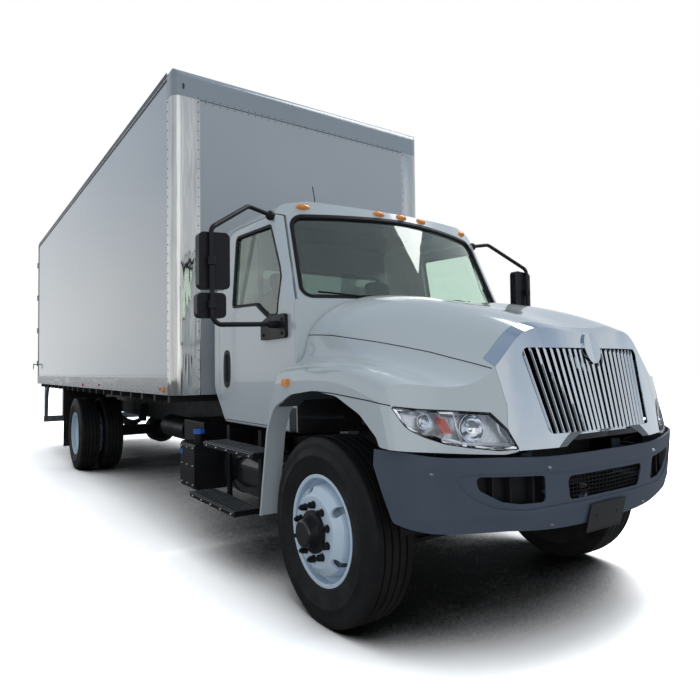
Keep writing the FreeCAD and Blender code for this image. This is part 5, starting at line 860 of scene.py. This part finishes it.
def add_mirror_details(side, sign):
    glass, trim = Batch(), Batch()
    for y, z0, z1, half in MIRROR_GLASSES:
        rim = rounded_ring(half, (z1 - z0) / 2.0, 24)
        glass.loft(*([at(x, sign * (y + u), (z0 + z1) / 2.0 + v) for u, v in rim] for x in (-716.0, -713.0)))
    glass.build("mirror_glass_" + side, "mirror", "door_" + side, "chrome")
    for x, z in MIRROR_BOLTS:
        trim.disc(at(x, sign * 1039.0, z), (0.0, sign, 0.0), 0.013, 0.005, 16, 0.85)
        trim.disc(at(x, sign * 1043.0, z), (0.0, sign, 0.0), 0.008, 0.005, 6)
    trim.build("mirror_plate_bolts_" + side, "black", "door_" + side, "plastic_black")


def add_cab_details():
    for side, sign in SIDES:
        add_handle(side, sign)
        add_mirror_details(side, sign)
    wipers, gap, whip = Batch(), Batch(), Batch()
    lift = Vector((0.030, 0.0, 0.014))
    for line in WIPERS:
        root, knee, tip, end = on_node("cab_glass", [at(*spot) for spot in line], 5.0)
        wipers.disc(root, (0.8, 0.0, 0.5), 0.016, 0.034, 16, 0.8)
        wipers.tube([root + lift * 0.9, root.lerp(knee, 0.5) + lift * 1.3, knee + lift * 0.9], 0.006)
        wipers.tube([tip + lift * 0.55, knee + lift * 0.75, end + lift * 0.55], 0.006)
    wipers.build("wipers", "black", "chassis", "plastic_black")
    for sign in (-1.0, 1.0):
        gap.tube([at(-410.6, sign * 1009.5, z) for z in (1290.0, 1560.0, 1790.0)], 0.0056, 8)
    gap.build("cowl_gap_seals", "seal", "chassis", "rubber_black")
    whip.tube([at(-905.0, -560.0, 2575.0), at(-915.0, -562.0, 2640.0), at(-932.0, -566.0, 2716.0)], 0.0035)
    whip.disc(at(-905.0, -560.0, 2560.0), (0.0, 0.0, 1.0), 0.024, 0.03, 16, 0.5)
    whip.build("antenna", "black", "chassis", "plastic_black")


def cushion(name, low, high, power, crown=0.0, grooves=()):
    """A crowned pad between two corners, with sewn channels across its length."""
    mesh = bmesh.new()
    bmesh.ops.create_cube(mesh, size=2.0)
    bmesh.ops.subdivide_edges(mesh, edges=mesh.edges, cuts=11, use_grid_fill=True)
    centre, half = (low + high) / 2.0, (high - low) / 2.0
    for vert in mesh.verts:
        p = vert.co
        q = p / (abs(p.x) ** power + abs(p.y) ** power + abs(p.z) ** power) ** (1.0 / power)
        pinch = 1.0 - 0.05 * (1.0 - abs(q.x)) * (1.0 - abs(q.y)) * abs(q.z)
        thick = 1.0 + crown * (1.0 - q.x * q.x) * (1.0 - q.y * q.y)
        for place in grooves:
            thick -= 0.16 * math.exp(-((q.x - place) / 0.045) ** 2)
        vert.co = centre + Vector((q.x * half.x * pinch, q.y * half.y * pinch, q.z * half.z * thick))
    data = bpy.data.meshes.new(name)
    mesh.to_mesh(data)
    mesh.free()
    for polygon in data.polygons:
        polygon.use_smooth = True
    obj = bpy.data.objects.new(name, data)
    bpy.context.scene.collection.objects.link(obj)
    data.materials.append(M["fabric"])
    smooth = obj.modifiers.new("smooth", "SUBSURF")
    smooth.levels = smooth.render_levels = 1
    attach(obj, "chassis")
    return obj


SEAT_LEAN = -8.0


def tilt(obj, pivot, degrees):
    """Lean a pad about a sideways axis through a point, in its mesh."""
    lean = Matrix.Rotation(math.radians(degrees), 4, "Y")
    turn = Matrix.Translation(pivot) @ lean @ Matrix.Translation(-pivot)
    obj.data.transform(turn)


def add_seats():
    for side, y in (("left", 480.0), ("right", -480.0)):
        base = cushion("seat_cushion_" + side, at(-1480.0, y - 245.0, 1350.0), at(-975.0, y + 245.0, 1466.0),
                       4.5, 0.12, (-0.35, 0.1, 0.55))
        back = cushion("seat_back_" + side, at(-1490.0, y - 232.0, 1440.0), at(-1385.0, y + 232.0, 2030.0),
                       4.5)
        head = cushion("seat_headrest_" + side, at(-1480.0, y - 130.0, 2034.0), at(-1395.0, y + 130.0, 2170.0),
                       3.5)
        for piece in (back, head):
            tilt(piece, at(-1440.0, y, 1450.0), SEAT_LEAN)
        stand = Batch()
        stand.slab((-1410.0, -1050.0), (y - 185.0, y + 185.0), (1041.5, 1300.0))
        stand.slab((-1440.0, -1000.0), (y - 215.0, y + 215.0), (1300.0, 1356.0))
        stand = stand.build("seat_base_" + side, "black", "chassis", "plastic_black", bevel=0.02)
        for piece in (base, back, head, stand):
            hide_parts("seats")


# Cargo body

BOX_HALF = 1295.0
BOX_FRONT = -1862.0
BOX_REAR = -9808.0
RAIL_SPAN = (-9706.0, -2014.0)
RIB_HEIGHTS = ((1312.0, 1320.0), (1284.0, 1290.0), (1258.0, 1263.0), (1181.0, 1186.0))
FORWARD = (1.0, 0.0, 0.0)
GASKET_X = (-9803.0, -9798.0)


def rivet(batch, point, facing, radius=0.0055, height=0.0028):
    batch.disc(point - Vector(facing) * 0.001, facing, radius, height + 0.001, 8, 0.62)


def add_rivets():
    rivets, dark, beads, line, lamps, red = (Batch() for _ in range(6))
    for sign in (-1.0, 1.0):
        facing = (0.0, sign, 0.0)
        for index in range(104):
            x = -2050.0 - 74.0 * index
            rivet(dark, at(x, sign * (BOX_HALF - 5.0), 1338.0), facing, 0.0045, 0.002)
            rivet(rivets, at(x, sign * BOX_HALF, 3778.0), facing)
        for index in range(38):
            for z in (1199.0, 1238.0):
                rivet(dark, at(-2080.0 - 203.0 * index, sign * BOX_HALF, z), facing, 0.005, 0.002)
        for index in range(31):
            z = 1230.0 + 78.0 * index
            rivet(dark, at(-1993.0, sign * BOX_HALF, z), facing, 0.0055, 0.003)
            rivet(dark, at(BOX_FRONT, sign * 1086.0, z), FORWARD, 0.0055, 0.003)
        for index in range(17):
            for z in (3612.0, 3578.0):
                rivet(dark, at(BOX_FRONT, sign * (60.0 + 64.0 * index), z), FORWARD, 0.005, 0.0025)
        for span in RIB_HEIGHTS:
            beads.slab(RAIL_SPAN, (BOX_HALF - 1.0, BOX_HALF + 3.0), span, sign)
        for proud, span in ((2.5, (3764.0, 3770.0)), (2.5, (3808.0, 3812.0)), (2.0, (3788.0, 3826.0))):
            line.slab(RAIL_SPAN, (BOX_HALF - 1.0, BOX_HALF + proud), span, sign)
        lamps.disc(at(-2114.0, sign * (BOX_HALF - 1.0), 1225.0), facing, 0.026, 0.016, 24, 0.8)
        red.disc(at(-5480.0, sign * (BOX_HALF - 1.0), 1216.0), facing, 0.020, 0.014, 24, 0.8)
    rivets.build("rail_rivets", "rail", "chassis", "rail_metal")
    dark.build("panel_rivets", "dark_trim", "chassis", "rail_metal")
    beads.build("bottom_rail_ribs", "rail", "chassis", "rail_metal")
    line.slab((BOX_FRONT - 1.0, BOX_FRONT + 2.0), (-1072.0, 1072.0), (3593.0, 3597.0))
    slot = [(v / 1000.0, u / 1000.0) for u, v in rounded_ring(24.0, 9.0, 20, 3.0)]
    line.prism(at(BOX_FRONT - 1.0, -1208.0, 3676.0), FORWARD, slot, 0.003)
    line.build("top_rail_lines", "dark_trim", "chassis", "rail_metal")
    lamps.build("side_marker_lamps", "amber", "chassis", "lamp_amber")
    red.build("mid_marker_lamps", "red", "chassis", "lamp_red")


def add_rear_details():
    rivets, hook = Batch(), Batch()
    rearward = (-1.0, 0.0, 0.0)
    for side, sign in (("right", -1.0), ("left", 1.0)):
        door = Batch()
        for y in ((4.5, 22.0), (1170.0, 1188.0)):
            door.slab(GASKET_X, y, (1302.0, 3680.0), sign)
        for z in (1306.0, 3664.0):
            door.slab(GASKET_X, (22.0, 1170.0), (z, z + 14.0), sign)
        door.build("cargo_door_gasket_" + side, "seal", "cargo_door_" + side, "rubber_black")
        for index in range(30):
            rivet(rivets, at(BOX_REAR, sign * 1255.0, 1230.0 + 82.0 * index), rearward)
    for index in range(9):
        rivet(rivets, at(BOX_REAR, -1100.0 + 275.0 * index, 3790.0), rearward)
    rivets.build("rear_frame_rivets", "bolt", "chassis", "rail_metal")
    arm = ((-9806.0, -1294.0), (-9830.0, -1320.0), (-9836.0, -1362.0))
    hook.tube([at(x, y, 1540.0) for x, y in arm], 0.009)
    turns = (2.0 * math.pi * i / 24 for i in range(25))
    hook.tube([at(-9836.0 + 30.0 * math.cos(a), -1362.0, 1500.0 + 52.0 * math.sin(a)) for a in turns], 0.004)
    hook.build("rear_hold_back", "black", "chassis", "plastic_black")


# Chassis

STEPS = ((-1690.0, -860.0, 1030.0, 1225.0, 455.0), (-1550.0, -700.0, 985.0, 1170.0, 845.0))
TREAD_ROWS = 6
TOOTH_PITCH = 36.0
CAP_AT = (-1935.0, -1060.0)
TANK_FACE_Y = -1149.0


def add_steps_details():
    slats, edges, tank, bolts = Batch(), Batch(), Batch(), Batch()
    for sign in (-1.0, 1.0):
        for x0, x1, y0, y1, top in STEPS:
            for row in range(TREAD_ROWS):
                y = y0 + 14.0 + (y1 - y0 - 28.0) * row / (TREAD_ROWS - 1)
                slats.slab((x0 + 8.0, x1 - 8.0), (y - 5.0, y + 5.0), (top - 1.0, top + 5.0), sign)
            for index in range(int((x1 - x0) / TOOTH_PITCH)):
                x = x0 + 20.0 + TOOTH_PITCH * index
                slats.slab((x - 3.0, x + 3.0), (y0 + 12.0, y1 - 12.0), (top - 1.0, top + 3.5), sign)
            edges.slab((x0 + 4.0, x1 - 4.0), (y1 - 1.0, y1 + 2.5), (top - 9.0, top - 2.0), sign)
            for index in range(5):
                x = x0 + 60.0 + (x1 - x0 - 120.0) * index / 4.0
                edges.disc(at(x, sign * y1, top - 22.0), (0.0, sign, 0.0), 0.008, 0.006, 12, 0.7)
    slats.build("step_treads", "galvanised", "chassis", "galvanised")
    edges.build("step_edges", "bolt", "chassis", "rail_metal")
    tank.disc(at(*CAP_AT, 864.0), (0.0, 0.0, 1.0), 0.045, 0.040, 24, 0.9)
    for index in range(12):
        c, d = math.cos(2.0 * math.pi * index / 12), math.sin(2.0 * math.pi * index / 12)
        rib = [at(CAP_AT[0] + r * c, CAP_AT[1] + r * d, z) for r, z in ((44.0, 868.0), (42.0, 898.0))]
        tank.tube(rib, 0.004, 6)
    tank.disc(at(-2090.0, TANK_FACE_Y, 715.0), (0.0, -1.0, 0.0), 0.026, 0.006, 6, 0.8)
    tank.build("fluid_tank_cap", "blue", "chassis", "plastic_black")
    for x in (-2095.0, -1970.0, -1840.0):
        for z in (470.0, 620.0, 760.0):
            bolts.disc(at(x, TANK_FACE_Y, z), (0.0, -1.0, 0.0), 0.009, 0.007, 12, 0.8)
    bolts.build("fluid_tank_bolts", "bolt", "chassis", "rail_metal")


# Stage, light and camera

WORLD_LIGHT = (0.60, 0.62, 0.64)
SKY_LOW = (0.66, 0.72, 0.78)
SKY_HIGH = (0.17, 0.27, 0.44)
CLOUD_LOW = (0.95, 0.95, 0.93)
CLOUD_HIGH = (0.42, 0.48, 0.56)
FLOOR_LIT = (0.62, 0.62, 0.62)
FLOOR_MIRRORED = (0.20, 0.205, 0.21)
FLOOR_SEEN = (3.0, 3.0, 3.0)
FLOOR_SHADE = (0.004, 0.004, 0.004)
FLOOR_HALF = 60.0
SHADE_REACH = 1.9
SHADE_SPAN = (0.26, 0.74)


def add_stage():
    """A pale floor that the camera sees as white, with the truck's own shadow, deepened by painted shade near
    the truck.
    """
    floor_data = bpy.data.meshes.new("floor")
    corners = [(x * FLOOR_HALF, y * FLOOR_HALF, 0) for x, y in ((-1, -1), (1, -1), (1, 1), (-1, 1))]
    floor_data.from_pydata(corners, [], [(0, 1, 2, 3)])
    floor = bpy.data.objects.new("floor", floor_data)
    bpy.context.scene.collection.objects.link(floor)
    mat, tree, shader = base_material("floor_pale")
    shader.inputs["Roughness"].default_value = 0.8
    shader.inputs["Specular IOR Level"].default_value = 0.1
    path = tree.nodes.new("ShaderNodeLightPath")
    bounced = mixed(tree, path.outputs["Is Glossy Ray"], FLOOR_LIT, FLOOR_MIRRORED)
    # Painted shadow: where the truck closes the floor in, the occlusion mask turns the floor's colour dark as
    # the camera sees it
    under = tree.nodes.new("ShaderNodeAmbientOcclusion")
    under.samples = 16
    under.inputs["Distance"].default_value = SHADE_REACH
    seen = mixed(tree, map_range(tree, under.outputs["AO"], SHADE_SPAN), FLOOR_SHADE, FLOOR_SEEN)
    tree.links.new(mixed(tree, path.outputs["Is Camera Ray"], bounced, seen), shader.inputs["Base Color"])
    floor_data.materials.append(mat)


def add_world():
    """White where the camera looks, an even light, and a soft overhead gradient in reflections."""
    world = bpy.data.worlds.new("studio")
    bpy.context.scene.world = world
    world.use_nodes = True
    tree = world.node_tree
    background = tree.nodes["Background"]
    around = tree.nodes.new("ShaderNodeTexCoord").outputs["Generated"]
    height = split_axes(tree, around)[2]
    soft = tree.nodes.new("ShaderNodeTexNoise")
    soft.inputs["Scale"].default_value = 2.2
    soft.inputs["Detail"].default_value = 3.0
    tree.links.new(around, soft.inputs["Vector"])
    clear = ramp(tree, height, 0.05, 0.6, SKY_LOW, SKY_HIGH)
    cloudy = ramp(tree, height, 0.05, 0.9, CLOUD_LOW, CLOUD_HIGH)
    mirrored_in = mixed(tree, spread(tree, soft.outputs["Fac"], 0.0, 1.0), clear, cloudy)
    path = tree.nodes.new("ShaderNodeLightPath")
    lit = mixed(tree, path.outputs["Is Glossy Ray"], WORLD_LIGHT, mirrored_in)
    seen = math_node(tree, "MAXIMUM", path.outputs["Is Camera Ray"], path.outputs["Is Transmission Ray"])
    tree.links.new(mixed(tree, seen, lit, (1.0, 1.0, 1.0)), background.inputs["Color"])
    background.inputs["Strength"].default_value = 1.0


def add_light(name, location, target, size, power):
    data = bpy.data.lights.new(name, "AREA")
    data.energy = power
    data.size = size
    lamp = bpy.data.objects.new(name, data)
    bpy.context.scene.collection.objects.link(lamp)
    lamp.location = location
    lamp.rotation_mode = "QUATERNION"
    lamp.rotation_quaternion = (Vector(target) - Vector(location)).to_track_quat("-Z", "Y")


def add_camera():
    data = bpy.data.cameras.new("camera")
    data.sensor_width = SENSOR_MM
    data.lens = FOCAL_PX * SENSOR_MM / FRAME_PX
    data.clip_end = 200.0
    camera = bpy.data.objects.new("camera", data)
    bpy.context.scene.collection.objects.link(camera)
    forward = Vector((math.cos(CAMERA_YAW) * math.cos(CAMERA_PITCH),
                      math.sin(CAMERA_YAW) * math.cos(CAMERA_PITCH), math.sin(CAMERA_PITCH)))
    right = Vector((math.sin(CAMERA_YAW), -math.cos(CAMERA_YAW), 0.0))
    up = right.cross(forward)
    rolled_right = right * math.cos(CAMERA_ROLL) + up * math.sin(CAMERA_ROLL)
    rolled_up = up * math.cos(CAMERA_ROLL) - right * math.sin(CAMERA_ROLL)
    turn = Matrix((rolled_right, rolled_up, -forward)).transposed().to_4x4()
    camera.matrix_world = Matrix.Translation(at(*CAMERA_AT)) @ turn
    bpy.context.scene.camera = camera


dress_frame()
add_tyres()
add_wheel_details()
add_headlamps()
add_hood_seams()
add_bumper_details()
add_seals()
add_cab_details()
add_seats()
add_rivets()
add_rear_details()
add_steps_details()
add_stage()
add_world()
add_light("key", (4.0, 6.0, 11.0), (1.0, -0.5, 0.5), 6.0, 620.0)
add_light("fill", (13.0, -6.0, 5.0), (4.0, 0.0, 1.2), 8.0, 90.0)
add_camera()
bpy.context.scene.view_settings.view_transform = "Standard"
